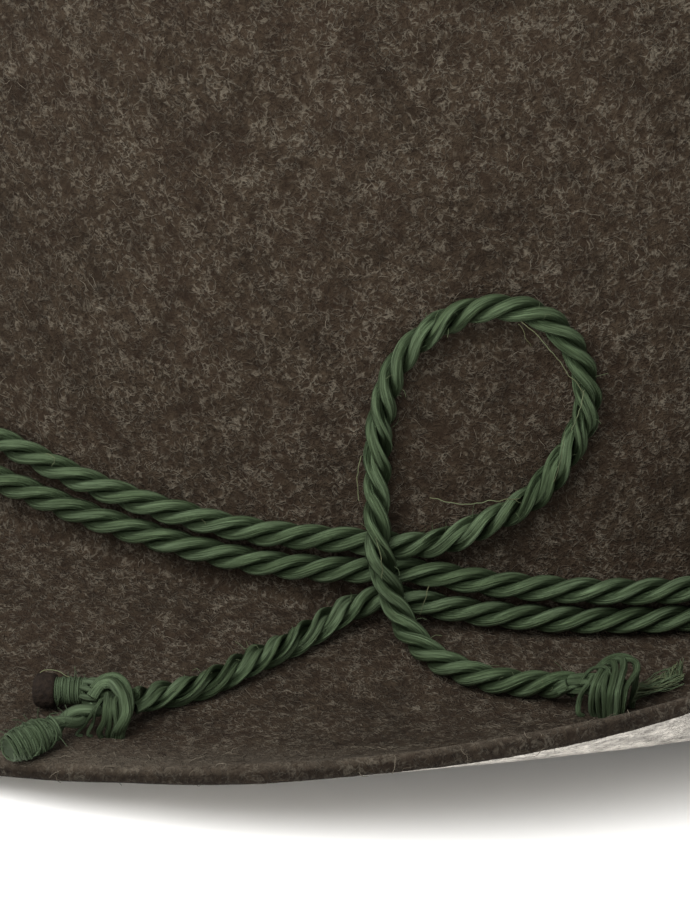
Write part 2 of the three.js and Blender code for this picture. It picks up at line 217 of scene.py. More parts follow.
# Threads that have come loose, as points like those of LOOP_ROUTE
STRAYS = (
    ((114.8, 42.2, 4.0), (115.3, 40.1, 3.0), (115.7, 38.4, 1.5)),
    ((115.0, 42.6, 3.9), (117.2, 38.9, 4.3), (118.6, 35.5, 4.2), (119.6, 33.2, 4.0)),
    ((119.6, 34.0, 4.2), (119.2, 31.4, 4.3), (118.7, 28.4, 3.6)),
    ((118.2, 28.6, 4.1), (118.0, 25.2, 4.0), (117.6, 22.4, 3.8), (117.2, 18.7, 2.4)),
    ((108.5, 17.0, 0.8), (110.8, 17.5, 3.0), (112.9, 18.6, 4.2), (114.3, 18.7, 3.4),
     (115.4, 18.7, 1.8)),
    ((103.7, 23.0, 3.9), (103.5, 20.4, 4.1), (103.7, 17.1, 4.3)),
    ((105.3, 13.7, 7.7), (105.7, 11.1, 8.0), (105.8, 8.4, 7.7)),
    ((108.2, 2.5, 4.0), (108.5, 5.0, 4.6), (108.8, 6.5, 4.2)),
    ((92.3, 10.3, 3.8), (93.0, 8.6, 2.6), (93.7, 7.2, 1.2)),
    ((80.0, 13.1, 3.8), (80.9, 13.1, 4.0), (80.5, 11.8, 3.8)),
    ((88.2, -33.9, 4.3), (88.6, -33.4, 4.9), (89.2, -33.1, 4.9), (90.0, -33.1, 4.4)),
)

# Profiles of the turned and wound ends: share of their length and radius in millimetres
UPPER_PROFILE = ((0, 1.5), (0.5, 1.68), (1, 1.55))
UPPER_OUTER = ((0, 1.62), (1, 1.7))
LOWER_PROFILE = ((0, 1.15), (0.2, 1.5), (0.4, 1.85), (0.7, 1.95), (0.9, 1.75), (1, 1.1))
TIP_PROFILE = (
    (0.0, 1.5), (0.03, 2.0), (0.12, 2.15), (0.6, 2.2), (0.82, 2.1), (0.93, 1.8),
    (0.98, 1.45), (0.94, 1.1), (0.9, 0.7), (0.93, 0.35),
)

# Places of the ends as points like those of LOOP_ROUTE: the upper end from the knot to the
# tip, and the lower one from the knot over its neck to its far end
UPPER_END = ((92.5, -34.9, 3.6), (91.1, -32.9, 2.75), (89.4, -33.8, 2.6), (88.2, -34.5, 2.6))
LOWER_END = ((92.5, -37.8, 3.1), (91.25, -41.4, 2.4), (91.0, -45.4, 2.35), (89.95, -50.2, 2.3))

# Rings of the felt's outer face, from the tip outwards, and points on each
TIP_RINGS, SHOULDER_RINGS, WALL_RINGS, BEND_RINGS, BRIM_RINGS = 15, 10, 38, 6, 32
CROWN_RINGS = TIP_RINGS + SHOULDER_RINGS + WALL_RINGS
OUTER_RINGS = CROWN_RINGS + BEND_RINGS + BRIM_RINGS
FELT_TURNS = 420

# Where the camera looks, from the middle of the head opening, and its film (mm)
LOOKED_AT = (76.1, 19.3, 23.4)
FILM = 36

# Half the floor's side (m)
FLOOR_HALF = 3.0


def lerp(a, b, share):
    return a + (b - a) * share


def spaced(first, last, count):
    """Evenly spaced values from first to last."""
    return [lerp(first, last, i / (count - 1)) for i in range(count)]


# The felt's section


def mirrored(rows):
    """A table with its second and last but one rows mirrored past its ends."""
    before = (2 * rows[0][0] - rows[1][0], *rows[1][1:])
    after = (2 * rows[-1][0] - rows[-2][0], *rows[-2][1:])
    return (before, *rows, after)


BRIM_ROWS = mirrored(BRIM_SECTIONS)
BAND_ROWS = mirrored(BAND_ROUTE)


def read(rows, turn, column):
    """Smooth value of a column of a mirrored table at a turn, through its rows."""
    i = 1
    while i < len(rows) - 3 and turn > rows[i + 1][0]:
        i += 1
    before, start, end, after = rows[i - 1 : i + 3]
    span = end[0] - start[0]
    u = (turn - start[0]) / span
    leave = (end[column] - before[column]) / (end[0] - before[0]) * span
    arrive = (after[column] - start[column]) / (after[0] - start[0]) * span
    return (
        (2 * u**3 - 3 * u**2 + 1) * start[column]
        + (u**3 - 2 * u**2 + u) * leave
        + (3 * u**2 - 2 * u**3) * end[column]
        + (u**3 - u**2) * arrive
    )


@lru_cache(maxsize=None)
def brim_at(turn):
    """Reach in metres and the two slopes in radians."""
    folded = abs((turn + 180) % 360 - 180)
    reach, fall, lip = (read(BRIM_ROWS, folded, column) for column in (REACH, FALL, LIP))
    return reach * BRIM_WIDTH, math.radians(fall), math.radians(lip)


def foot_height(turn):
    return FELT + FRONT_LIFT * (1 + math.cos(math.radians(turn))) / 2


def wall_face(turn, up):
    """Out from the crown's foot, height, and the way that the face looks (out, up)."""
    lean_out, lean_up = math.cos(WALL_LEAN), math.sin(WALL_LEAN)
    return -lean_up * up, foot_height(turn) + lean_out * up, lean_out, lean_up


def brim_face(turn, along):
    reach, fall, lip = brim_at(turn)
    straight = CURL_START * reach
    bend = (lip - fall) / (reach - straight)
    curved = max(0.0, along - straight)
    slope = fall + bend * curved
    out = math.cos(fall) * min(along, straight)
    z = foot_height(turn) + math.sin(fall) * min(along, straight)
    if abs(bend) < EVEN_SLOPE:
        out += math.cos(fall) * curved
        z += math.sin(fall) * curved
    else:
        out += (math.sin(slope) - math.sin(fall)) / bend
        z += (math.cos(fall) - math.cos(slope)) / bend
    underside = z - math.cos(slope) * FELT
    z += max(0.0, -underside)
    return out, z, -math.sin(slope), math.cos(slope)


# The solids are centred on the felt's box, so the oval's middle lies behind the origin
OVAL_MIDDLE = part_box("felt_hat")[0].y + HALF_LENGTH + brim_face(0, brim_at(0)[0])[0]


def at_oval(turn, out, z):
    """A point on the oval round the head, moved out and up in the plane of its section."""
    t = math.radians(turn)
    normal = Vector((math.sin(t) / HALF_WIDTH, -math.cos(t) / HALF_LENGTH)).normalized()
    x = HALF_WIDTH * math.sin(t) + normal.x * out
    y = OVAL_MIDDLE - HALF_LENGTH * math.cos(t) + normal.y * out
    return Vector((x, y, z))


def on_felt(turn, along, lift):
    """A point lifted off the felt, along in metres up the wall or, below 0, out on the brim."""
    face = wall_face(turn, along) if along >= 0 else brim_face(turn, -along)
    out, z, face_out, face_up = face
    return at_oval(turn, out + face_out * lift, z + face_up * lift)


def places(rows):
    """Points on the felt from rows of turn in degrees, along and lift in millimetres."""
    return [on_felt(turn, along * MM, lift * MM) for turn, along, lift in rows]


def bend_point(turn, share, depth):
    wall = Vector(wall_face(turn, 0)[2:])
    brim = Vector(brim_face(turn, NEXT_TO_WALL)[2:])
    centre = FOOT_BEND * (wall + brim) / (1 + wall.dot(brim))
    facing = wall.lerp(brim, share).normalized()
    radius = FOOT_BEND + depth
    height = foot_height(turn) + centre.y - facing.y * radius
    return at_oval(turn, centre.x - facing.x * radius, height)


def shoulder_point(turn, share, depth):
    out, z, face_out, face_up = wall_face(turn, WALL_HEIGHT)
    angle = lerp(WALL_LEAN, SHOULDER_END, share)
    radius = SHOULDER_RADIUS - depth
    out += math.cos(angle) * radius - face_out * SHOULDER_RADIUS
    return at_oval(turn, out, z + math.sin(angle) * radius - face_up * SHOULDER_RADIUS)


def tip_point(turn, share, depth):
    edge = shoulder_point(turn, 1, depth)
    middle = foot_height(90) + edge.z - foot_height(turn)
    x = edge.x * share
    y = (edge.y - OVAL_MIDDLE) * share
    reach = (2 * x / DENT_WIDTH) ** 2 + (2 * y / DENT_LENGTH) ** 2
    dent = DENT_DEPTH * max(0.0, 1 - reach) ** 2
    z = lerp(middle, edge.z, share) + TIP_RISE * (1 - share * share) - dent
    return Vector((x, OVAL_MIDDLE + y, z))


# Lines


def smooth_line(points, step):
    """A centripetal Catmull-Rom curve through points, as points about step apart."""
    points = [Vector(p) for p in points]
    ends = [2 * points[0] - points[1], *points, 2 * points[-1] - points[-2]]
    line = []
    for a, b, c, d in zip(ends, ends[1:], ends[2:], ends[3:]):
        knots = [0.0]
        for p, q in ((a, b), (b, c), (c, d)):
            knots.append(knots[-1] + max((q - p).length, 1e-9) ** 0.5)
        k0, k1, k2, k3 = knots
        count = max(1, round((c - b).length / step))
        for i in range(count):
            t = lerp(k1, k2, i / count)
            ab = a.lerp(b, (t - k0) / (k1 - k0))
            bc = b.lerp(c, (t - k1) / (k2 - k1))
            cd = c.lerp(d, (t - k2) / (k3 - k2))
            abc = ab.lerp(bc, (t - k0) / (k2 - k0))
            bcd = bc.lerp(cd, (t - k1) / (k3 - k1))
            line.append(abc.lerp(bcd, (t - k1) / (k2 - k1)))
    line.append(points[-1])
    return line


def length_of(line):
    return sum((b - a).length for a, b in zip(line, line[1:]))


def routed(rows, step=1.5 * MM):
    """The smooth line of a route given in turns and millimetres."""
    return smooth_line(places(rows), step)


def band_line(step_degrees=1.5):
    first, last = BAND_ROUTE[0][0], BAND_ROUTE[-1][0]
    turns = spaced(first, last, round((last - first) / step_degrees) + 1)
    return [on_felt(t, read(BAND_ROWS, t, 1) * CORD, CORD / 2 + CLEAR) for t in turns]


def across(start, end):
    """The direction from start to end, and two directions across it."""
    along = (end - start).normalized()
    side = along.orthogonal().normalized()
    return along, side, along.cross(side)


def turned(side, other, angle):
    return side * math.cos(angle) + other * math.sin(angle)


# Objects


def linked(name, data):
    made = bpy.data.objects.new(name, data)
    bpy.context.scene.collection.objects.link(made)
    return made


def mesh_object(name, points, faces, smooth=True):
    mesh = bpy.data.meshes.new(name)
    mesh.from_pydata([tuple(p) for p in points], [], faces)
    mesh.update()
    if smooth:
        mesh.shade_smooth()
    return linked(name, mesh)


def mark_points(mesh, name, values):
    mesh.attributes.new(name, "FLOAT", "POINT").data.foreach_set("value", values)


def edge_lines(name, lines, **marks):
    """Plain lines for a node tree to sweep. marks are lists with a value for each point."""
    points, edges = [], []
    for line in lines:
        edges += [(len(points) + i, len(points) + i + 1) for i in range(len(line) - 1)]
        points += [tuple(p) for p in line]
    mesh = bpy.data.meshes.new(name)
    mesh.from_pydata(points, edges, [])
    for mark, values in marks.items():
        mark_points(mesh, mark, values)
    return linked(name, mesh)


def ringed(name, first, rings, last):
    """A closed skin from a first point, over rings of as many points each, to a last one."""
    sides = len(rings[0])
    points = [first, *(point for ring in rings for point in ring), last]
    end = len(points) - 1
    faces = []
    for k in range(sides):
        n = (k + 1) % sides
        faces.append((0, 1 + k, 1 + n))
        for a in range(1, end - sides, sides):
            b = a + sides
            faces.append((a + k, b + k, b + n, a + n))
        faces.append((end - sides + n, end - sides + k, end))
    return mesh_object(name, points, faces)


def grown(source, tree, values, name):
    """Runs a node tree over an object with named values. A plain mesh piece takes its place."""
    modifier = source.modifiers.new(tree.name, "NODES")
    modifier.node_group = tree
    for item in tree.interface.items_tree:
        if item.item_type == "SOCKET" and item.in_out == "INPUT" and item.name in values:
            modifier[item.identifier] = values[item.name]
    evaluated = source.evaluated_get(bpy.context.evaluated_depsgraph_get())
    mesh = bpy.data.meshes.new_from_object(evaluated)
    mesh.name = name
    source.modifiers.remove(modifier)
    bpy.data.meshes.remove(source.data)
    return linked(name, mesh)


def finished(piece, slot, *nodes):
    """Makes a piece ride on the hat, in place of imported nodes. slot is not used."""
    if not piece.data.polygons:
        raise RuntimeError(f"{piece.name} has no faces")
    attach(piece, "root")
    if nodes:
        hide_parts(*nodes)


# Node trees


class Wire:
    """An output of a node. Arithmetic on it adds the node that works the result out."""

    def __init__(self, tree, socket):
        self.tree, self.socket = tree, socket

    def maths(self, operation, *others, clamp=False):
        inputs = dict(enumerate((self, *others)))
        return self.tree.put("ShaderNodeMath", inputs, operation=operation, use_clamp=clamp)

    def __add__(self, other):
        return self.maths("ADD", other)

    def __sub__(self, other):
        return self.maths("SUBTRACT", other)

    def __mul__(self, other):
        return self.maths("MULTIPLY", other)

    def __truediv__(self, other):
        return self.maths("DIVIDE", other)

    def vector(self, operation, other=None, output="Vector", **named):
        inputs = {0: self, **named}
        if other is not None:
            inputs[1] = other
        return self.tree.put("ShaderNodeVectorMath", inputs, output, operation=operation)

    def scaled(self, scale):
        """A vector made longer or shorter."""
        return self.vector("SCALE", Scale=scale)

    def stretched(self, low, high, to_low=0.0, to_high=1.0):
        """A value mapped from one range to another and kept inside it."""
        inputs = {0: self, 1: low, 2: high, 3: to_low, 4: to_high}
        return self.tree.put("ShaderNodeMapRange", inputs, clamp=True)


class NodeTree:
    """Adds nodes to a node tree. Their inputs are numbers, colours and wires."""

    def __init__(self, built):
        self.built = built

    def put(self, kind, inputs=None, output=0, node_tree=None, **settings):
        """Adds a node. inputs maps a socket's name or number to its value. output is the name
        or number of the wire to give back, or None for all of them by name."""
        made = self.built.nodes.new(kind)
        if node_tree is not None:
            made.node_tree = node_tree
        for name, value in settings.items():
            setattr(made, name, value)
        for socket, value in (inputs or {}).items():
            if isinstance(value, Wire):
                self.built.links.new(value.socket, made.inputs[socket])
            else:
                made.inputs[socket].default_value = value
        if output is None:
            return {each.name: Wire(self, each) for each in made.outputs}
        return Wire(self, made.outputs[output])

    def end(self, wire, socket):
        self.built.links.new(wire.socket, socket)

    def noise(self, place, scale, detail=2.0, roughness=0.5, distortion=0.0, output="Fac"):
        inputs = {
            "Vector": place,
            "Scale": scale,
            "Detail": detail,
            "Roughness": roughness,
            "Distortion": distortion,
        }
        return self.put("ShaderNodeTexNoise", inputs, output)

    def xyz(self, x=0.0, y=0.0, z=0.0):
        return self.put("ShaderNodeCombineXYZ", {0: x, 1: y, 2: z})

    def split(self, vector):
        return self.put("ShaderNodeSeparateXYZ", {0: vector}, None)

    def mixed(self, factor, first, second, blend="MIX"):
        """Two colours, or wires of them, mixed."""
        colours = [c if isinstance(c, Wire) else tuple(c) for c in (first, second)]
        inputs = {0: factor, 6: colours[0], 7: colours[1]}
        return self.put("ShaderNodeMix", inputs, 2, data_type="RGBA", blend_type=blend)

    def painted(self, name, output="Fac"):
        """A named attribute, in a material."""
        return self.put("ShaderNodeAttribute", None, output, attribute_name=name)

    def named(self, name, data_type="FLOAT"):
        """A named attribute, in a geometry tree."""
        kind = "GeometryNodeInputNamedAttribute"
        return self.put(kind, {"Name": name}, "Attribute", data_type=data_type)

    def stored(self, geometry, name, value, data_type="FLOAT", domain="POINT"):
        kind = "GeometryNodeStoreNamedAttribute"
        inputs = {"Geometry": geometry, "Name": name, "Value": value}
        return self.put(kind, inputs, data_type=data_type, domain=domain)

    def moved(self, geometry, **to):
        """Geometry with its points moved by an Offset or to a Position."""
        return self.put("GeometryNodeSetPosition", {"Geometry": geometry, **to})

    def resampled(self, curve, mode, **amount):
        return self.put("GeometryNodeResampleCurve", {"Curve": curve, **amount}, mode=mode)

    def widened(self, curve, radius):
        return self.put("GeometryNodeSetCurveRadius", {"Curve": curve, "Radius": radius})

    def circle(self, sides, radius):
        inputs = {"Resolution": sides, "Radius": radius}
        return self.put("GeometryNodeCurvePrimitiveCircle", inputs, "Curve")

    def round_profile(self, sides, radius):
        """A circle whose points know their own direction from its middle."""
        angle = self.put("GeometryNodeSplineParameter", None, "Factor") * TAU
        rim = self.xyz(angle.maths("COSINE"), angle.maths("SINE"))
        return self.stored(self.circle(sides, radius), "rim", rim, "FLOAT_VECTOR")

    def swept(self, curve, profile):
        """A profile swept along a curve, as large as the curve's own radius says."""
        radius = self.put("GeometryNodeInputRadius")
        inputs = {"Curve": curve, "Profile Curve": profile, "Scale": radius, "Fill Caps": True}
        return self.put("GeometryNodeCurveToMesh", inputs, "Mesh")

    def along_strand(self, mesh, along):
        """Stores where a point lies round and along its own strand."""
        place = self.named("rim", "FLOAT_VECTOR").vector("ADD", self.xyz(z=along))
        return self.stored(mesh, "strand", place, "FLOAT_VECTOR")

    def finish(self, mesh, material, socket):
        smooth = self.put("GeometryNodeSetShadeSmooth", {0: mesh})
        real = self.put("GeometryNodeRealizeInstances", {0: smooth})
        inputs = {"Geometry": real, "Material": material}
        self.end(self.put("GeometryNodeSetMaterial", inputs), socket)


def built_once(name):
    """Makes a function give back the node group of a name, built if the file has none yet."""

    def with_lookup(build):
        @wraps(build)
        def found():
            return bpy.data.node_groups.get(name) or build(name)

        return found

    return with_lookup


def new_group(kind, name, inputs, outputs):
    """An empty node group, the wires of its inputs and the sockets of its outputs.

    inputs and outputs list the names of the sockets by their type.
    """
    group = bpy.data.node_groups.new(name, kind)
    for direction, types in (("INPUT", inputs), ("OUTPUT", outputs)):
        for socket_type, names in types.items():
            for socket in names.split(", "):
                kept_type = "NodeSocket" + socket_type
                group.interface.new_socket(socket, in_out=direction, socket_type=kept_type)
    tree = NodeTree(group)
    given = tree.put("NodeGroupInput", None, None)
    return tree, given, group.nodes.new("NodeGroupOutput").inputs


@built_once("Twisted cord")
def twisted_cord_tree(name):
    """Three plies laid up round a route, storing where painted shade falls on them. Where the
    route's loose is 1 their yarns part.
    """
    inputs = {
        "Geometry": "Route",
        "Float": "Step, Pitch, Ply radius, Ply offset, Unevenness, Lobes, Lobe turn",
        "Int": "Sides",
        "Material": "Material",
    }
    outputs = {"Geometry": "Cord"}
    tree, given, result = new_group("GeometryNodeTree", name, inputs, outputs)
    curve = tree.put("GeometryNodeMeshToCurve", {0: given["Route"]})
    even = tree.resampled(curve, "LENGTH", Length=given["Step"])
    copies = tree.put(
        "GeometryNodeDuplicateElements", {"Geometry": even, "Amount": 3}, None, domain="SPLINE"
    )
    gone = tree.put("GeometryNodeSplineParameter", None, "Length")
    plies = tree.stored(copies["Geometry"], "along", gone)
    plies = tree.stored(plies, "ply", copies["Duplicate Index"])
    along, ply, loose = (tree.named(name) for name in ("along", "ply", "loose"))
    angle = (along / given["Pitch"] + ply / 3.0) * TAU
    normal = tree.put("GeometryNodeInputNormal")
    side = normal.vector("CROSS_PRODUCT", tree.put("GeometryNodeInputTangent"))
    outward = normal.scaled(angle.maths("COSINE"))
    outward = outward.vector("ADD", side.scaled(angle.maths("SINE")))
    seat = tree.xyz(along * 120.0, ply * 7.0)
    uneven = (tree.noise(seat, 1.0, 1.0) - 0.5) * given["Unevenness"] + 1.0
    plies = tree.stored(plies, "outward", outward, "FLOAT_VECTOR")
    laid = tree.moved(plies, Offset=outward.scaled(given["Ply offset"] * uneven))
    laid = tree.widened(laid, uneven * (loose * -0.2 + 1.0))
    mesh = tree.swept(laid, tree.round_profile(given["Sides"], given["Ply radius"]))
    rim = tree.split(tree.named("rim", "FLOAT_VECTOR"))
    around = rim["Y"].maths("ARCTAN2", rim["X"])
    ridges = (around * 3.0 + along * TAU / given["Lobe turn"]).maths("COSINE")
    lobe = ridges * given["Lobes"] * (loose * given["Ply radius"])
    parted = tree.moved(mesh, Offset=tree.put("GeometryNodeInputNormal").scaled(lobe))
    strand = tree.along_strand(parted, along + ply * 0.37)
    # Painted shade: a ply's faces that turn in towards the cord's middle, and the valleys between
    # parted yarns, are stored as less open to light, for the material to darken.
    facing = tree.put("GeometryNodeInputNormal").vector(
        "DOT_PRODUCT", tree.named("outward", "FLOAT_VECTOR"), "Value"
    )
    valley_shade = (ridges * -0.5 + 0.5).maths("POWER", 3.0) * (loose * 0.12)
    shaded = tree.stored(strand, "crest", facing - valley_shade)
    tree.finish(shaded, given["Material"], result["Cord"])
    return tree.built


@built_once("Strands")
def strands_tree(name):
    """Sweeps lines as round strands of the radius that their points say."""
    inputs = {"Geometry": "Lines", "Int": "Sides", "Material": "Material"}
    outputs = {"Geometry": "Strands"}
    tree, given, result = new_group("GeometryNodeTree", name, inputs, outputs)
    curve = tree.put("GeometryNodeMeshToCurve", {0: given["Lines"]})
    gone = tree.put("GeometryNodeSplineParameter", None, "Length")
    curve = tree.widened(tree.stored(curve, "along", gone), tree.named("radius_m"))
    mesh = tree.swept(curve, tree.round_profile(given["Sides"], 1.0))
    strand = tree.along_strand(mesh, tree.named("along") + tree.named("tint") * 3.1)
    tree.finish(strand, given["Material"], result["Strands"])
    return tree.built


@built_once("Loose wool")
def loose_wool_tree(name):
    """Scatters short curly fibres over a felt, as many as its fuzz says."""
    inputs = {
        "Geometry": "Felt",
        "Float": "Density, Length, Radius, Curl, Lift, Lowest",
        "Int": "Seed",
        "Material": "Material",
    }
    outputs = {"Geometry": "Wool"}
    tree, given, result = new_group("GeometryNodeTree", name, inputs, outputs)
    density = tree.named("fuzz") * given["Density"]
    values = {"Mesh": given["Felt"], "Density": density, "Seed": given["Seed"]}
    scatter = tree.put("GeometryNodeDistributePointsOnFaces", values, None)

    def chance(low, high, seed):
        chosen = {2: low, 3: high, "Seed": given["Seed"] + seed}
        return tree.put("FunctionNodeRandomValue", chosen, 1, data_type="FLOAT")

    lift = scatter["Normal"].scaled(chance(-0.2, 1.6, 11.0) * given["Lift"])
    points = tree.moved(scatter["Points"], Offset=lift)
    ends = {"Start": (-0.5, 0, 0), "End": (0.5, 0, 0)}
    line = tree.resampled(tree.put("GeometryNodeCurvePrimitiveLine", ends), "COUNT", Count=6)
    spin = {"Axis": (0, 0, 1), "Angle": chance(0.0, TAU, 23.0)}
    facing = {
        "Rotation": scatter["Rotation"],
        "Rotate By": tree.put("FunctionNodeAxisAngleToRotation", spin),
    }
    placed = {
        "Points": points,
        "Instance": line,
        "Rotation": tree.put("FunctionNodeRotateRotation", facing, rotation_space="LOCAL"),
        "Scale": chance(0.35, 1.0, 31.0) * given["Length"],
    }
    fibres = tree.put("GeometryNodeInstanceOnPoints", placed)
    fibres = tree.stored(fibres, "tint", chance(0.0, 1.0, 47.0), "FLOAT", "INSTANCE")
    fibres = tree.put("GeometryNodeRealizeInstances", {0: fibres})
    place = tree.put("GeometryNodeInputPosition")
    swirl = tree.noise(place, 850.0, 0.0, output="Color").vector("SUBTRACT", (0.5, 0.5, 0.5))
    fibres = tree.moved(fibres, Offset=swirl.scaled(given["Curl"]))
    at = tree.split(tree.put("GeometryNodeInputPosition"))
    above = tree.xyz(at["X"], at["Y"], at["Z"].maths("MAXIMUM", given["Lowest"]))
    fibres = tree.moved(fibres, Position=above)
    share = tree.put("GeometryNodeSplineParameter", None, "Factor")
    taper = (share * 2.0 - 1.0).maths("ABSOLUTE") * -0.5 + 1.0
    fibres = tree.widened(fibres, taper * given["Radius"])
    tree.finish(tree.swept(fibres, tree.circle(3, 1.0)), given["Material"], result["Wool"])
    return tree.built


@built_once("Wool lines")
def wool_lines_group(name):
    """Thin curly lines, broken up, as the fibres show in a felt."""
    inputs = {"Vector": "Place", "Float": "Scale, Width, Cover, Shift"}
    outputs = {"Float": "Mask"}
    tree, given, result = new_group("ShaderNodeTree", name, inputs, outputs)
    moved = given["Place"].vector("ADD", given["Shift"])
    curl = tree.noise(moved, given["Scale"], 1.0, distortion=0.8)
    away = (curl - 0.5).maths("ABSOLUTE") / given["Width"]
    line = away.maths("MULTIPLY_ADD", -1.0, 1.0, clamp=True)
    broken = tree.noise(moved, given["Scale"] * 0.7, 0.0)
    low = given["Cover"] * -0.4 + 0.68
    kept = (broken - low).maths("MULTIPLY", 8.0, clamp=True)
    tree.end(line * kept, result["Mask"])
    return tree.built


@built_once("Filaments")
def filaments_group(name):
    """Fine lines along a strand, from its own round-and-along coordinates."""
    inputs = {"Float": "Fineness, Along"}
    outputs = {"Float": "Lines, Patches"}
    tree, given, result = new_group("ShaderNodeTree", name, inputs, outputs)
    parts = tree.split(tree.painted("strand", "Vector"))
    fine = given["Fineness"]
    place = tree.xyz(parts["X"] * fine, parts["Y"] * fine, parts["Z"] * given["Along"])
    lines = tree.noise(place, 1.0, 3.0, 0.6)
    patches = tree.noise(place, 0.3, 1.0)
    tree.end(lines.stretched(0.36, 0.64), result["Lines"])
    tree.end(patches.stretched(0.35, 0.65), result["Patches"])
    return tree.built


# Settings


def length_setting(name, description, default_mm):
    return FloatProperty(
        name=name,
        description=description,
        default=default_mm * MM,
        min=0,
        unit="LENGTH",
        precision=5,
    )


def number_setting(name, description, default, **more):
    return FloatProperty(name=name, description=description, default=default, **more)


def colour_setting(name, description, default):
    return FloatVectorProperty(
        name=name,
        description=description,
        default=(*default, 1.0),
        size=4,
        min=0,
        max=1,
        subtype="COLOR",
    )


class HatFeltSettings(bpy.types.PropertyGroup):
    ground: colour_setting("Ground", "Darkest wool of the felt", (0.0076, 0.0043, 0.0021))
    warm: colour_setting("Warm wool", "Redder wool in the felt", (0.0134, 0.0075, 0.0042))
    middle: colour_setting("Middle wool", "Common fibres of the felt", (0.037, 0.0264, 0.0168))
    pale: colour_setting("Pale wool", "Lightest fibres of the felt", (0.120, 0.103, 0.077))
    # Colour of the paler strip by the brim's edge: partly raised nap, partly a painted highlight
    nap_and_highlight: colour_setting("Nap", "Wool raised by wear along the edge", (0.078, 0.065, 0.049))
    under: colour_setting("Underside", "The felt's inner face", (0.60, 0.56, 0.505))
    fibre_length: length_setting("Fibre length", "Longest loose fibre", 2.3)
    fibre_radius: length_setting("Fibre radius", "Radius of a loose fibre", 0.045)
    fibre_curl: length_setting("Fibre curl", "How far a loose fibre bends", 1.5)
    crown_fibres: number_setting("Crown fibres", "Fibres on a square metre of the crown", 80000)
    brim_fibres: number_setting("Brim fibres", "Fibres on a square metre of the brim", 115000)
    seed: IntProperty(name="Seed", description="Seed of the loose fibres", default=4)


class HatCordSettings(bpy.types.PropertyGroup):
    pitch: length_setting("Pitch", "Length of cord in which a ply goes once round", 11.5)
    band_pitch: length_setting("Band pitch", "The same where the cord is drawn tight", 13.2)
    ply_radius: length_setting("Ply radius", "Radius of each of the three plies", 0.79)
    ply_offset: length_setting("Ply offset", "From the cord's middle to a ply's middle", 0.95)
    green: colour_setting("Ply", "Colour of the plies", (0.050, 0.070, 0.036))
    light: colour_setting("Ply light", "Colour of the lighter filaments", (0.080, 0.108, 0.064))
    dark: colour_setting("Ply shade", "Colour between the filaments", (0.0150, 0.0220, 0.0105))
    stray: colour_setting("Stray thread", "Colour of the yellowish threads", (0.105, 0.095, 0.05))
    whipping: colour_setting("Whipping", "Thread wound round the ends", (0.039, 0.052, 0.03))


class HatEndSettings(bpy.types.PropertyGroup):
    tip: colour_setting("Tip", "Colour of the dark tip", (0.0075, 0.0050, 0.0036))
    tip_grain: colour_setting("Tip grain", "Lighter grain of the tip", (0.017, 0.0112, 0.0074))
    thread: length_setting("Thread radius", "Radius of the whipping thread", 0.16)


class HatStageSettings(bpy.types.PropertyGroup):
    azimuth: number_setting(
        "Azimuth",
        "Where the camera stands, from the front towards the wearer's left",
        math.radians(113),
        subtype="ANGLE",
    )
    elevation: number_setting(
        "Elevation", "Height of the camera above the horizon", math.radians(30), subtype="ANGLE"
    )
    distance: length_setting("Distance", "From the camera to what it looks at", 880)
    lens: number_setting("Lens", "Focal length for a 36 mm sensor", 274.4, unit="CAMERA")
    floor: colour_setting("Floor", "Colour of the floor", (0.88, 0.875, 0.86))
    key: number_setting("Key", "Main light", 9.0, unit="POWER")
    fill: number_setting("Fill", "Fill light", 3.0, unit="POWER")
    sky: number_setting("Sky", "Strength of the light all round", 0.68)


# Materials


def new_material(name, roughness, specular=0.5):
    """A material, its node tree and the inputs of its shader. One of that name is made anew."""
    made = bpy.data.materials.get(name) or bpy.data.materials.new(name)
    made.use_nodes = True
    nodes = made.node_tree.nodes
    for node in list(nodes):
        if node.name not in ("Principled BSDF", "Material Output"):
            nodes.remove(node)
    shader = nodes["Principled BSDF"].inputs
    shader["Roughness"].default_value = roughness
    shader["Specular IOR Level"].default_value = specular
    return made, NodeTree(made.node_tree), shader


def object_place(tree):
    return tree.put("ShaderNodeTexCoord", None, "Object")


def bumped(tree, shader, height, distance):
    inputs = {"Height": height, "Distance": distance, "Strength": 1.0}
    tree.end(tree.put("ShaderNodeBump", inputs, "Normal"), shader["Normal"])


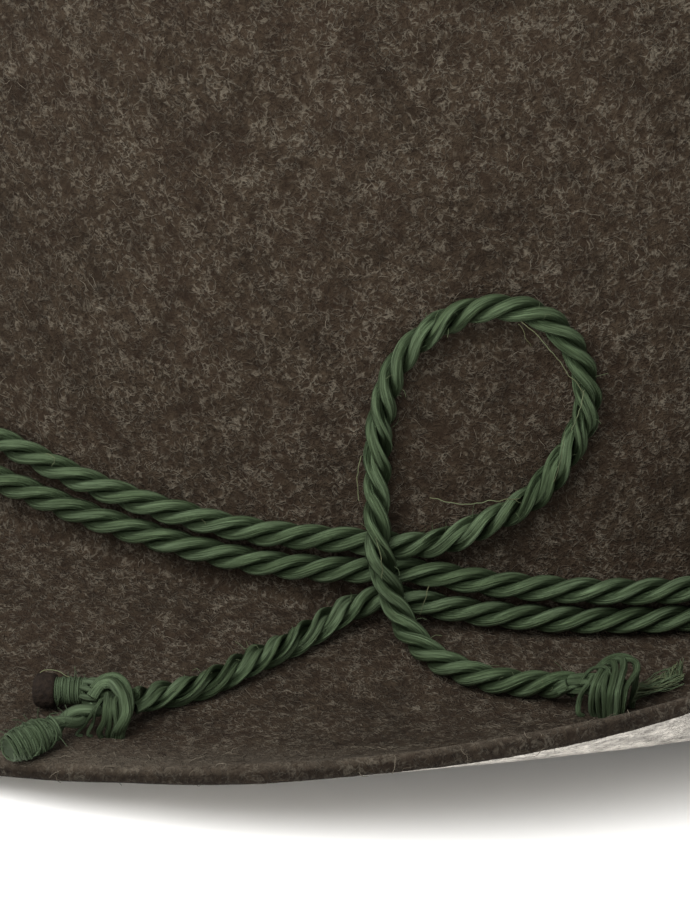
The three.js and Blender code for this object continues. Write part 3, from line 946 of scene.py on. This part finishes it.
def felt_material(felt):
    made, tree, shader = new_material("Wool felt", 0.95, 0.12)
    place = object_place(tree)
    hue = tree.noise(place, 120.0, 3.0).stretched(0.36, 0.64)
    clump = tree.noise(place, 230.0, 3.0, 0.65).stretched(0.33, 0.67)
    mottle = tree.noise(place, 800.0, 4.0, 0.75).stretched(0.32, 0.68)
    ground = tree.mixed(hue, felt.ground, felt.warm)
    wool = tree.mixed(mottle * clump.stretched(0.0, 1.0, 0.25, 0.8), ground, felt.middle)
    masks = []
    for scale, width, cover, shift, share, tone in (
        (1300.0, 0.13, 0.9, 0.23, 0.80, felt.middle),
        (900.0, 0.08, 0.8, 0.37, 0.85, felt.middle),
        (1050.0, 0.075, 0.7, 0.53, 0.70, felt.pale),
        (680.0, 0.045, 0.6, 0.71, 0.80, felt.pale),
    ):
        values = {"Place": place, "Scale": scale, "Width": width, "Cover": cover, "Shift": shift}
        mask = tree.put("ShaderNodeGroup", values, "Mask", node_tree=wool_lines_group())
        amount = mask * clump.stretched(0.0, 1.0, 0.3 * share, share)
        wool = tree.mixed(amount, wool, tone)
        masks.append(mask)
    # Paler strip along the brim's edge: partly raised pale nap, partly a painted highlight where the
    # edge rolls over.
    raised = tree.painted("worn") * mottle.stretched(0.0, 1.0, 0.2, 0.8)
    wool = tree.mixed(raised, wool, felt.nap_and_highlight)
    # Painted shade: the cut edge face is darkened to half, as it lies in shade below the brim's top.
    shaded = tree.painted("cut").stretched(0.0, 1.0, 1.0, 0.5)
    wool = tree.mixed(1.0, wool, shaded, "MULTIPLY")
    speck = (mottle * clump).stretched(0.0, 0.6, 0.5, 1.12)
    streaked = speck * masks[1].stretched(0.0, 1.0, 1.0, 0.68)
    under = tree.mixed(1.0, felt.under, streaked, "MULTIPLY")
    torn = (mottle - 0.5) * 0.4
    side = (tree.painted("inner") + torn).stretched(0.6, 0.75)
    tree.end(tree.mixed(side, wool, under), shader["Base Color"])
    height = mottle * 0.7
    for mask, weight in zip(masks, (0.4, 0.4, 0.6, 0.6)):
        height = height + mask * weight
    bumped(tree, shader, height, 0.22 * MM)
    return made


def wool_material(felt):
    """Loose fibres, from dark to pale by the fibre."""
    made, tree, shader = new_material("Loose wool", 0.8, 0.15)
    tint = tree.painted("tint")
    first = tree.mixed(tint.stretched(0.0, 0.5), felt.warm, felt.middle)
    both = tree.mixed(tint.stretched(0.5, 1.0), first, felt.pale)
    tree.end(both, shader["Base Color"])
    return made


# How dark the painted shade makes a strand between its neighbours, and the green sheen of rayon
DEEP_SHADE = 0.6
SHEEN = (0.55, 0.8, 0.42, 1.0)

# Finishes of the cord's strands: dark, middle and light colour, filaments across a strand,
# depth of the bump in millimetres, roughness
STRAND_FINISHES = {
    "Green rayon plies": ("dark", "green", "light", 3.2, 0.12, 0.42),
    "Whipping thread": ("dark", "whipping", "light", 2.0, 0.04, 0.6),
    "Stray thread": ("light", "stray", "stray", 1.5, 0.02, 0.6),
    "Frayed thread": ("green", "light", "stray", 1.5, 0.02, 0.7),
}


def strand_material(name):
    """Silky filaments that run along a strand, with painted shade where strands lie in the shade of
    their neighbours.
    """
    *colours, fineness, depth_mm, roughness = STRAND_FINISHES[name]
    cord = bpy.context.scene.hat_cord
    dark, middle, light = (getattr(cord, colour) for colour in colours)
    made, tree, shader = new_material(name, roughness, 0.3)
    shader["Specular Tint"].default_value = SHEEN
    values = {"Fineness": fineness, "Along": 160.0}
    fine = tree.put("ShaderNodeGroup", values, None, node_tree=filaments_group())
    base = tree.mixed(fine["Lines"], dark, middle)
    base = tree.mixed(fine["Patches"] * fine["Lines"] * 0.8, base, light)
    # Painted shade: where a strand's stored share of light is low, between plies, under knots and
    # inside wound ends, its colour is darkened towards a deep shade.
    open_to_light = tree.painted("crest").stretched(0.22, 0.66)
    shade_colour = (*(value * DEEP_SHADE for value in dark[:3]), 1.0)
    tree.end(tree.mixed(open_to_light, shade_colour, base), shader["Base Color"])
    bumped(tree, shader, fine["Lines"], depth_mm * MM)
    return made


def tip_material(ends):
    made, tree, shader = new_material("Dark tip", 0.85, 0.12)
    grain = tree.noise(object_place(tree), 1600.0, 4.0).stretched(0.3, 0.7)
    tree.end(tree.mixed(grain, ends.tip, ends.tip_grain), shader["Base Color"])
    bumped(tree, shader, grain, 0.15 * MM)
    return made


def floor_material(stage):
    made, tree, shader = new_material("Pale floor", 0.8)
    faint = tree.noise(object_place(tree), 3.0).stretched(0.3, 0.7, 0.97, 1.0)
    tree.end(tree.mixed(1.0, stage.floor, faint, "MULTIPLY"), shader["Base Color"])
    return made


# Pieces


def looseness(line, loose):
    """How far the yarns have parted at each point. loose rows are shares of the length."""
    total, gone, values = length_of(line), 0.0, []
    for before, here in zip([line[0], *line], line):
        gone += (here - before).length
        share = gone / total
        inside = [min(share - first, last - share) for first, last in loose]
        values.append(min(1.0, 40 * max([0.0, *inside])))
    return values


def twisted_cord(name, line, node, pitch, sides, step, loose=()):
    cord = bpy.context.scene.hat_cord
    route = edge_lines(name + "_route", [line], loose=looseness(line, loose))
    values = {
        "Step": step,
        "Pitch": pitch,
        "Ply radius": cord.ply_radius,
        "Ply offset": cord.ply_offset,
        "Sides": sides,
        "Unevenness": 0.14,
        "Lobes": 0.5,
        "Lobe turn": 26 * MM,
        "Material": strand_material("Green rayon plies"),
    }
    finished(grown(route, twisted_cord_tree(), values, name), "cord", node)


def strands(name, lines, finish, sides, slot, *nodes):
    """A piece of round strands. Each of lines is its points, its radius, its tint and, where
    it lies in the shade, how open to light it is, which sets the painted shade on it."""
    marks = {"radius_m": [], "tint": [], "crest": []}
    for line, radius, tint, *crest in lines:
        for mark, value in zip(marks, (radius, tint, *(crest or [1.0]))):
            marks[mark] += [value] * len(line)
    source = edge_lines(name + "_lines", [line[0] for line in lines], **marks)
    values = {"Sides": sides, "Material": strand_material(finish)}
    finished(grown(source, strands_tree(), values, name), slot, *nodes)


def knot_lines(rows, middle):
    """The strands of a knot. Their ends are tucked in under it."""
    lines = []
    for i, (radius, *points) in enumerate(rows):
        turn, along, _ = points[-1]
        tucked = (lerp(turn, middle[0], 0.15), lerp(along, middle[1], 0.15), 0.1)
        line = routed([*points, tucked], STRAND_STEP)
        # Strands on top of a knot get a little painted shade.
        lines.append((line, radius * MM, i / len(rows), ON_TOP))
    return lines


def body_lines(body):
    """Plies slung round a knot's middle, side by side, each a closed ring, dark with painted shade
    as they lie under the strands.
    """
    middle, towards, half = body
    centre, aim, above = places([middle, towards, (*middle[:2], middle[2] + 1)])
    long, wide, high = (h * MM for h in half)
    up = (above - centre).normalized()
    along = (aim - centre).normalized()
    along = (along - up * along.dot(up)).normalized()
    sideways = along.cross(up)
    lines = []
    for i, share in enumerate(spaced(-0.8, 0.8, BODY_WRAPS)):
        width = math.sqrt(1 - share * share)
        ring = []
        for step in range(RING_STEPS + 1):
            angle = TAU * step / RING_STEPS
            slant = 0.3 * long * math.sin(angle)
            off = turned(sideways * wide, up * high, angle) * width
            ring.append(centre + along * (share * long + slant) + off)
        # The body's plies take strong painted shade.
        lines.append((ring, BODY_STRAND, i / BODY_WRAPS, UNDER))
    return lines


def yarns_in():
    """Yarns of the rear tail's plies, on their way into its knot."""
    lines = []
    for k in range(YARNS):
        angle = TAU * k / YARNS
        rows = [
            (turn, along + apart * math.cos(angle), lift + high * math.sin(angle))
            for (turn, along, lift), apart, high in YARNS_IN
        ]
        lines.append((routed(rows, STRAND_STEP), YARN_RADIUS, k / YARNS, ON_TOP))
    return lines


def wound(start, end, profile, thread, spacing=1.8, slant=0.0, wander=0.0):
    """A thread wound from one place to another. profile is (share, radius in mm) rows."""
    length = (end - start).length
    along, side, other = across(start, end)
    turns = length / (spacing * thread)
    count = round(turns * POINTS_A_TURN)
    line = []
    for i in range(count + 1):
        share = i / count
        for (s0, r0), (s1, r1) in zip(profile, profile[1:]):
            if s0 <= share <= s1:
                radius = lerp(r0, r1, (share - s0) / (s1 - s0)) * MM
                break
        angle = TAU * turns * share
        radius += wander * noise.noise((share * turns * 0.9, share * 9, spacing)) * MM
        lean = slant * radius * math.cos(angle)
        line.append(start + along * (length * share + lean) + turned(side, other, angle) * radius)
    return line


def twisted_pair(line, offset, pitch, radius):
    """Two strands twisted round each other along a line."""
    pair = []
    for phase in (0, math.pi):
        points, gone = [], 0.0
        for before, here, after in zip([line[0], *line], line, [*line[1:], line[-1]]):
            gone += (here - before).length
            along = (after - before).normalized()
            side = along.cross(Vector((0, 0, 1))).normalized()
            off = turned(side, side.cross(along), phase - TAU * gone / pitch)
            points.append(here + off * offset)
        pair.append((points, radius, phase / TAU))
    return pair


def any_way(rng):
    return Vector([rng.gauss(0, 1) for _ in range(3)]).normalized()


def fluff(rng, start, end, count, spread, length, radius):
    """Short curly threads that stand off the line from start to end."""
    lines = []
    for _ in range(count):
        base = start.lerp(end, rng.random())
        aim = any_way(rng)
        aim.z = abs(aim.z)
        turn = any_way(rng)
        first = base + aim * spread
        reach = length * rng.uniform(0.4, 1)
        middle = first + (aim + turn * 0.7) * reach * 0.5
        last = first + (aim * 0.6 + turn) * reach
        lines.append((smooth_line([first, middle, last], FINE_STEP), radius, rng.random()))
    return lines


def fanned_yarn(start, end, angle, rng):
    """A yarn from the rim of a wound end into its knot."""
    _, side, other = across(start, end)
    off = turned(side, other, angle) * MM
    points = [start + off * 1.35, start.lerp(end, 0.5) + off * 1.5, end + off * 1.1]
    return smooth_line(points, STRAND_STEP), 0.42 * MM, rng.random()


def turned_body(name, start, end, profile, material, sides=40):
    """A closed body turned round the line from start to end."""
    _, side, other = across(start, end)
    rings = []
    for share, radius in profile:
        middle = start.lerp(end, share)
        angles = [-TAU * k / sides for k in range(sides)]
        rings.append([middle + turned(side, other, angle) * radius * MM for angle in angles])
    piece = ringed(name, start, rings, end)
    piece.data.materials.append(material)
    return piece


def swirl(place):
    """A smooth noise at a place, as a vector."""
    return Vector([noise.noise(place + Vector((0, 0, apart))) for apart in (0, 17, 31)])


def frayed_lines():
    """Fine strands past the rear knot: a wisp out along the brim and a tuft that stands up."""
    rng = random.Random(11)
    rows = []
    for _ in range(WISP_STRANDS):
        apart, rise = rng.gauss(0, 0.5), rng.random()
        end = 125.0 + rng.uniform(-0.4, 0.9)
        rows.append(
            (
                (122.0 + 0.5 * rise, -20.6 + 0.8 * apart, 1.0 + 2.2 * rise),
                (122.9 + 0.5 * rise, -17.4 + 1.2 * apart, 0.8 + 1.1 * rise),
                (124.1, -15.2 + 1.5 * apart, 0.6 + 0.7 * rise),
                (end, -13.7 + 1.5 * apart, 0.5 + 0.8 * rise),
            )
        )
    for _ in range(TUFT_STRANDS):
        share, lean = rng.random(), rng.gauss(0, 0.25)
        turn, out = lerp(124.5, 125.8, share), lerp(-14.8, -13.0, share)
        top = rng.uniform(1.0, 2.7)
        middle = (turn + 0.1 * lean, out + 0.3, 0.5 * top)
        rows.append(((turn, out - 0.4, 0.4), middle, (turn + lean, out + 0.8 + lean, top)))
    lines = []
    for points in rows:
        line = routed(points, LONG_STEP)
        sway = Vector((rng.uniform(-50, 50), 0, 0))
        bent = enumerate(line)
        line = [p + swirl(p * 420 + sway) * 0.5 * MM * i / len(line) for i, p in bent]
        lines.append((line, rng.uniform(0.045, 0.085) * MM, rng.random()))
    return lines


def felt_stations():
    """The felt's section, from the tip out over the brim's edge and back in.

    A station is a function of the turn with its share and depth, and how far it belongs to
    the inner face, to the cut edge, painted darker as shade, and to the paler strip along the edge,
    pale nap with a painted highlight.
    """

    def wall(turn, share, depth):
        return on_felt(turn, share * WALL_HEIGHT, -depth)

    def brim(turn, share, depth):
        return on_felt(turn, -share * (brim_at(turn)[0] - EDGE_ROUND), -depth)

    def edge(turn, back, depth):
        return on_felt(turn, back - brim_at(turn)[0], -depth)

    def face(mark, depth, *parts):
        """Stations over a face, from its parts' places, first and last shares and rings."""
        stations = []
        for place, first, last, count in parts:
            stations += [((place, share, depth), mark) for share in spaced(first, last, count)]
        return stations

    stations = face(
        (0.0, 0.0, 0.0),
        0.0,
        (tip_point, 0.05, 1, TIP_RINGS),
        (shoulder_point, 0.9, 0, SHOULDER_RINGS),
        (wall, 0.975, 0.03, WALL_RINGS),
        (bend_point, 0, 1, BEND_RINGS),
    )
    for share in spaced(0.06, 1, BRIM_RINGS):
        # The paler strip by the edge: pale nap and a painted highlight.
        worn = max(0.0, 1 - (1 - share) / PALE_EDGE_STRIP)
        stations.append(((brim, share, 0.0), (0.0, 0.0, worn)))
    corner = [
        (EDGE_ROUND * (1 - math.sin(a)), EDGE_ROUND * (1 - math.cos(a)))
        for a in (math.radians(d) for d in (22, 45, 68, 90))
    ]
    # Over the rounded corner the cut mark, which paints shade, grows, and the pale strip's mark
    # fades.
    for (back, depth), cut in zip(corner, (0.0, 0.15, 0.4, 0.7)):
        stations.append(((edge, back, depth), (0.0, cut, 0.9 - cut)))
    stations.append(((edge, 0.0, FELT / 2), (0.0, 1.0, 0.0)))
    for back, depth in reversed(corner):
        stations.append(((edge, back, FELT - depth), (0.0, 1.0, 0.0)))
    return stations + face(
        (1.0, 0.0, 0.0),
        FELT,
        (brim, 1, 0.08, 16),
        (bend_point, 1, 0, 5),
        (wall, 0.05, 0.95, 12),
        (shoulder_point, 0, 1, 8),
        (tip_point, 0.93, 0.1, 9),
    )


def felt_mesh(name):
    turns = [360 * k / FELT_TURNS for k in range(FELT_TURNS)]
    rings = []
    marks = [(0.0, 0.0, 0.0)]
    for (function, share, depth), mark in felt_stations():
        rings.append([function(turn, share, depth) for turn in turns])
        marks += [mark] * FELT_TURNS
    marks.append((1.0, 0.0, 0.0))
    piece = ringed(name, tip_point(0, 0, 0), rings, tip_point(0, 0, FELT))
    for mark, values in zip(("inner", "cut", "worn"), zip(*marks)):
        mark_points(piece.data, mark, values)
    return piece


def roughen(mesh):
    """Raises and lowers the felt a little, as blocked wool is never quite even."""
    normals = [v.normal.copy() for v in mesh.vertices]
    for vertex, normal in zip(mesh.vertices, normals):
        wave = noise.noise(vertex.co * 55) * 0.16 + noise.noise(vertex.co * 420) * 0.09
        settled = min(1.0, vertex.co.z / (1.2 * MM))
        vertex.co += normal * wave * MM * max(0.0, settled)
    mesh.update()


def outer_face(name, on_crown):
    """The felt's outer face on the crown or on the brim, a copy to scatter fibres on."""
    whole = bpy.data.objects["felt"].data
    inner = [0.0] * len(whole.vertices)
    whole.attributes["inner"].data.foreach_get("value", inner)
    limit = 1 + CROWN_RINGS * FELT_TURNS
    faces = []
    for polygon in whole.polygons:
        corners = tuple(polygon.vertices)
        if max(inner[i] for i in corners) < 0.5 and (max(corners) < limit) == on_crown:
            faces.append(corners)
    fuzz = [1.0] * len(inner)
    if not on_crown:
        first, last = (1 + ring * FELT_TURNS for ring in (OUTER_RINGS - 5, OUTER_RINGS + 4))
        fuzz[first:last] = [2.4] * (last - first)
    piece = mesh_object(name + "_face", [v.co for v in whole.vertices], faces)
    mark_points(piece.data, "fuzz", fuzz)
    return piece


# Operators


def direction(azimuth, elevation):
    """Towards a place seen from the middle, azimuth from the front to the wearer's left."""
    level = math.cos(elevation)
    return Vector((math.sin(azimuth) * level, -math.cos(azimuth) * level, math.sin(elevation)))


class HatOperator:
    """What all the steps share"""

    bl_options = {"REGISTER", "UNDO"}


class HAT_OT_stage(HatOperator, bpy.types.Operator):
    """Makes the camera, the lights and the floor"""

    bl_idname = "hat.stage"
    bl_label = "Stage"

    def execute(self, context):
        stage = context.scene.hat_stage
        back = direction(stage.azimuth, stage.elevation)
        data = bpy.data.cameras.new("camera")
        data.lens = stage.lens
        data.sensor_width = FILM
        data.clip_start, data.clip_end = 0.05, 20
        camera = linked("camera", data)
        middle = Vector((0, OVAL_MIDDLE, 0))
        camera.location = Vector(LOOKED_AT) * MM + middle + back * stage.distance
        camera.rotation_euler = (-back).to_track_quat("-Z", "Y").to_euler()
        context.scene.camera = camera

        for name, azimuth, elevation, distance, size, power in (
            ("key_light", 84, 50, 0.9, 0.5, stage.key),
            ("fill_light", 125, 14, 1.3, 0.8, stage.fill),
            ("front_light", 30, 40, 1.1, 0.8, stage.fill),
            ("back_light", 280, 50, 1.2, 0.9, stage.fill),
        ):
            lamp = bpy.data.lights.new(name, "AREA")
            lamp.energy, lamp.size = power, size
            light = linked(name, lamp)
            away = direction(math.radians(azimuth), math.radians(elevation))
            light.location = away * distance
            light.rotation_euler = away.to_track_quat("Z", "Y").to_euler()

        world = bpy.data.worlds.new("studio")
        world.use_nodes = True
        background = world.node_tree.nodes["Background"].inputs
        background["Color"].default_value = (0.98, 0.99, 1.0, 1)
        background["Strength"].default_value = stage.sky
        context.scene.world = world
        context.scene.view_settings.view_transform = "Standard"

        half = FLOOR_HALF
        corners = [(-half, -half, 0), (half, -half, 0), (half, half, 0), (-half, half, 0)]
        floor = mesh_object("floor", corners, [(0, 1, 2, 3)], smooth=False)
        floor.data.materials.append(floor_material(stage))
        return {"FINISHED"}


class HAT_OT_loop(HatOperator, bpy.types.Operator):
    """Lays up the cord's loop with the rear tail, and the front tail"""

    bl_idname = "hat.loop"
    bl_label = "Loop and tails"

    def execute(self, context):
        pitch = context.scene.hat_cord.pitch
        for name, rows, node, loose in (
            ("loop", LOOP_ROUTE, "cord_loop", LOOSE_ON_LOOP),
            ("front_tail", TAIL_ROUTE, "cord_tail", LOOSE_ON_TAIL),
        ):
            twisted_cord(name, routed(rows), node, pitch, 16, 0.35 * MM, loose)
        return {"FINISHED"}


class HAT_OT_band(HatOperator, bpy.types.Operator):
    """Lays up the cord's two turns round the crown"""

    bl_idname = "hat.band"
    bl_label = "Band"

    def execute(self, context):
        pitch = context.scene.hat_cord.band_pitch
        twisted_cord("band", band_line(), "cord_band", pitch, 10, 0.62 * MM)
        return {"FINISHED"}


class HAT_OT_knots(HatOperator, bpy.types.Operator):
    """Ties the two knots, from the plies slung round their middles"""

    bl_idname = "hat.knots"
    bl_label = "Knots"

    def execute(self, context):
        for name, rows, body, more, node in (
            ("front_knot", FRONT_KNOT, FRONT_BODY, [], "knot_front"),
            ("rear_knot", REAR_KNOT, REAR_BODY, yarns_in(), "knot_rear"),
        ):
            lines = body_lines(body) + knot_lines(rows, body[0]) + more
            strands(name, lines, "Green rayon plies", 12, "cord", node)
        return {"FINISHED"}


class HAT_OT_ends(HatOperator, bpy.types.Operator):
    """Winds the thread round the two front ends, and makes the tip and the frayed end"""

    bl_idname = "hat.ends"
    bl_label = "Ends"

    def execute(self, context):
        ends = context.scene.hat_ends
        thread = ends.thread
        rng = random.Random(7)
        into_knot, start, close, tip_end = places(UPPER_END)
        upper = wound(start, close, UPPER_PROFILE, thread, wander=0.25)
        over = wound(start, close, UPPER_OUTER, thread, 5.5, 0.4, 0.3)
        core = smooth_line([start, close], LONG_STEP)
        # The core inside the wound thread is painted darker as shade.
        lines = [(core, 1.55 * MM, 0.2, CORE_LIGHT), (upper, thread, 0.5), (over, thread * 0.8, 0.8)]
        lines += [fanned_yarn(start, into_knot, TAU * k / 9, rng) for k in range(9)]
        lines += fluff(rng, start, close, UPPER_FLUFF, 1.6 * MM, 1.3 * MM, 0.045 * MM)
        thread_look = ("Whipping thread", 6, "whipping")
        strands("upper_whipping", lines, *thread_look, "whipped_end_upper")
        tip = turned_body("tip", close, tip_end, TIP_PROFILE, tip_material(ends))
        finished(tip, "cord_tip", "tip_upper")

        neck, shoulder, fat, far = places(LOWER_END)
        line = smooth_line([neck, shoulder, fat], STRAND_STEP)
        lines = twisted_pair(line, 0.66 * MM, 8 * MM, 0.74 * MM)
        core = smooth_line([shoulder.lerp(fat, 0.5), far], LONG_STEP)
        # The core inside the wound thread is painted darker as shade.
        lines.append((core, 1.3 * MM, 0.3, FAT_CORE_LIGHT))
        wide = thread * 1.25
        near = shoulder.lerp(fat, 0.35)
        for spacing, slant, wander, share, tint in (
            (1.9, 0.35, 0.5, 1.0, 0.5),
            (4.1, 0.7, 0.9, 0.8, 0.9),
            (7.3, -0.6, 0.9, 0.7, 0.1),
        ):
            turns = wound(near, far, LOWER_PROFILE, wide, spacing, slant, wander)
            lines.append((turns, wide * share, tint))
        lines += fluff(rng, near, far, LOWER_FLUFF, 1.7 * MM, 1.8 * MM, 0.05 * MM)
        strands("lower_whipping", lines, *thread_look, "whipped_end_lower")

        strands("frayed_strands", frayed_lines(), "Frayed thread", 5, "cord", "frayed_end")
        return {"FINISHED"}


class HAT_OT_strays(HatOperator, bpy.types.Operator):
    """Lets a few yellowish threads and fine ends of filaments come loose from the cord"""

    bl_idname = "hat.strays"
    bl_label = "Stray threads"

    def execute(self, context):
        lines = []
        rng = random.Random(5)
        for points in STRAYS:
            line = routed(points, FINE_STEP)
            line = [p + swirl(p * 900) * 0.25 * MM for p in line]
            lines.append((line, rng.uniform(0.04, 0.065) * MM, rng.random()))
        strands("stray_threads", lines, "Stray thread", 6, "cord")

        lines = []
        for rows, count in ((LOOP_ROUTE, LOOP_FLUFF), (TAIL_ROUTE, TAIL_FLUFF)):
            line = routed(rows, 3 * MM)
            for _ in range(count):
                at = rng.randrange(len(line) - 1)
                lines += fluff(rng, line[at], line[at + 1], 1, 1.6 * MM, 1.4 * MM, 0.032 * MM)
        strands("cord_fluff", lines, "Frayed thread", 4, "cord")
        return {"FINISHED"}


class HAT_OT_free_cords(HatOperator, bpy.types.Operator):
    """Works out the length of the loop's and the front tail's routes, and keeps nothing of it"""

    bl_idname = "hat.free_cords"
    bl_label = "Free cords"

    def execute(self, context):
        for name, rows, others in (
            ("loop", LOOP_ROUTE, ("rear_knot", "frayed_strands")),
            ("front_tail", TAIL_ROUTE, ("front_knot", "upper_whipping", "tip", "lower_whipping")),
        ):
            line = routed(rows)
            length_of(line)
        return {"FINISHED"}


class HAT_OT_felt(HatOperator, bpy.types.Operator):
    """Makes the crown and brim from the section of the felt"""

    bl_idname = "hat.felt"
    bl_label = "Felt"

    def execute(self, context):
        piece = felt_mesh("felt")
        roughen(piece.data)
        piece.data.materials.append(felt_material(context.scene.hat_felt))
        finished(piece, "felt", "felt_hat")
        return {"FINISHED"}


class HAT_OT_wool(HatOperator, bpy.types.Operator):
    """Scatters loose curly fibres over the felt"""

    bl_idname = "hat.wool"
    bl_label = "Loose wool"

    def execute(self, context):
        felt = context.scene.hat_felt
        material = wool_material(felt)
        for name, on_crown, density, seed in (
            ("crown_wool", True, felt.crown_fibres, felt.seed),
            ("crown_fuzz", True, felt.crown_fibres, felt.seed + 2),
            ("brim_wool", False, felt.brim_fibres, felt.seed + 1),
        ):
            values = {
                "Density": density,
                "Length": felt.fibre_length,
                "Radius": felt.fibre_radius,
                "Curl": felt.fibre_curl,
                "Lift": 0.12 * MM,
                "Lowest": 0.3 * MM,
                "Seed": seed,
                "Material": material,
            }
            source = outer_face(name, on_crown)
            finished(grown(source, loose_wool_tree(), values, name), "felt")
        return {"FINISHED"}


STEPS = (
    HAT_OT_stage,
    HAT_OT_loop,
    HAT_OT_band,
    HAT_OT_knots,
    HAT_OT_ends,
    HAT_OT_strays,
    HAT_OT_free_cords,
    HAT_OT_felt,
    HAT_OT_wool,
)
SETTINGS = {
    "hat_felt": HatFeltSettings,
    "hat_cord": HatCordSettings,
    "hat_ends": HatEndSettings,
    "hat_stage": HatStageSettings,
}


class HAT_PT_panel(bpy.types.Panel):
    """Lists the hat's settings and the steps that make it"""

    bl_idname = "HAT_PT_panel"
    bl_label = "Hat"
    bl_space_type = "VIEW_3D"
    bl_region_type = "UI"
    bl_category = "Hat"

    def draw(self, context):
        for step in STEPS:
            self.layout.operator(step.bl_idname)
        for name in SETTINGS:
            settings = getattr(context.scene, name)
            box = self.layout.box()
            for prop in settings.bl_rna.properties:
                if prop.identifier not in ("rna_type", "name"):
                    box.prop(settings, prop.identifier)


def register():
    for made in (*SETTINGS.values(), *STEPS, HAT_PT_panel):
        bpy.utils.register_class(made)
    for name, group in SETTINGS.items():
        setattr(bpy.types.Scene, name, PointerProperty(type=group))


def unregister():
    for name in SETTINGS:
        delattr(bpy.types.Scene, name)
    for made in (HAT_PT_panel, *reversed(STEPS), *reversed(SETTINGS.values())):
        bpy.utils.unregister_class(made)


def main():
    register()
    for step in STEPS:
        area, name = step.bl_idname.split(".")
        getattr(getattr(bpy.ops, area), name)()


if __name__ == "__main__":
    main()
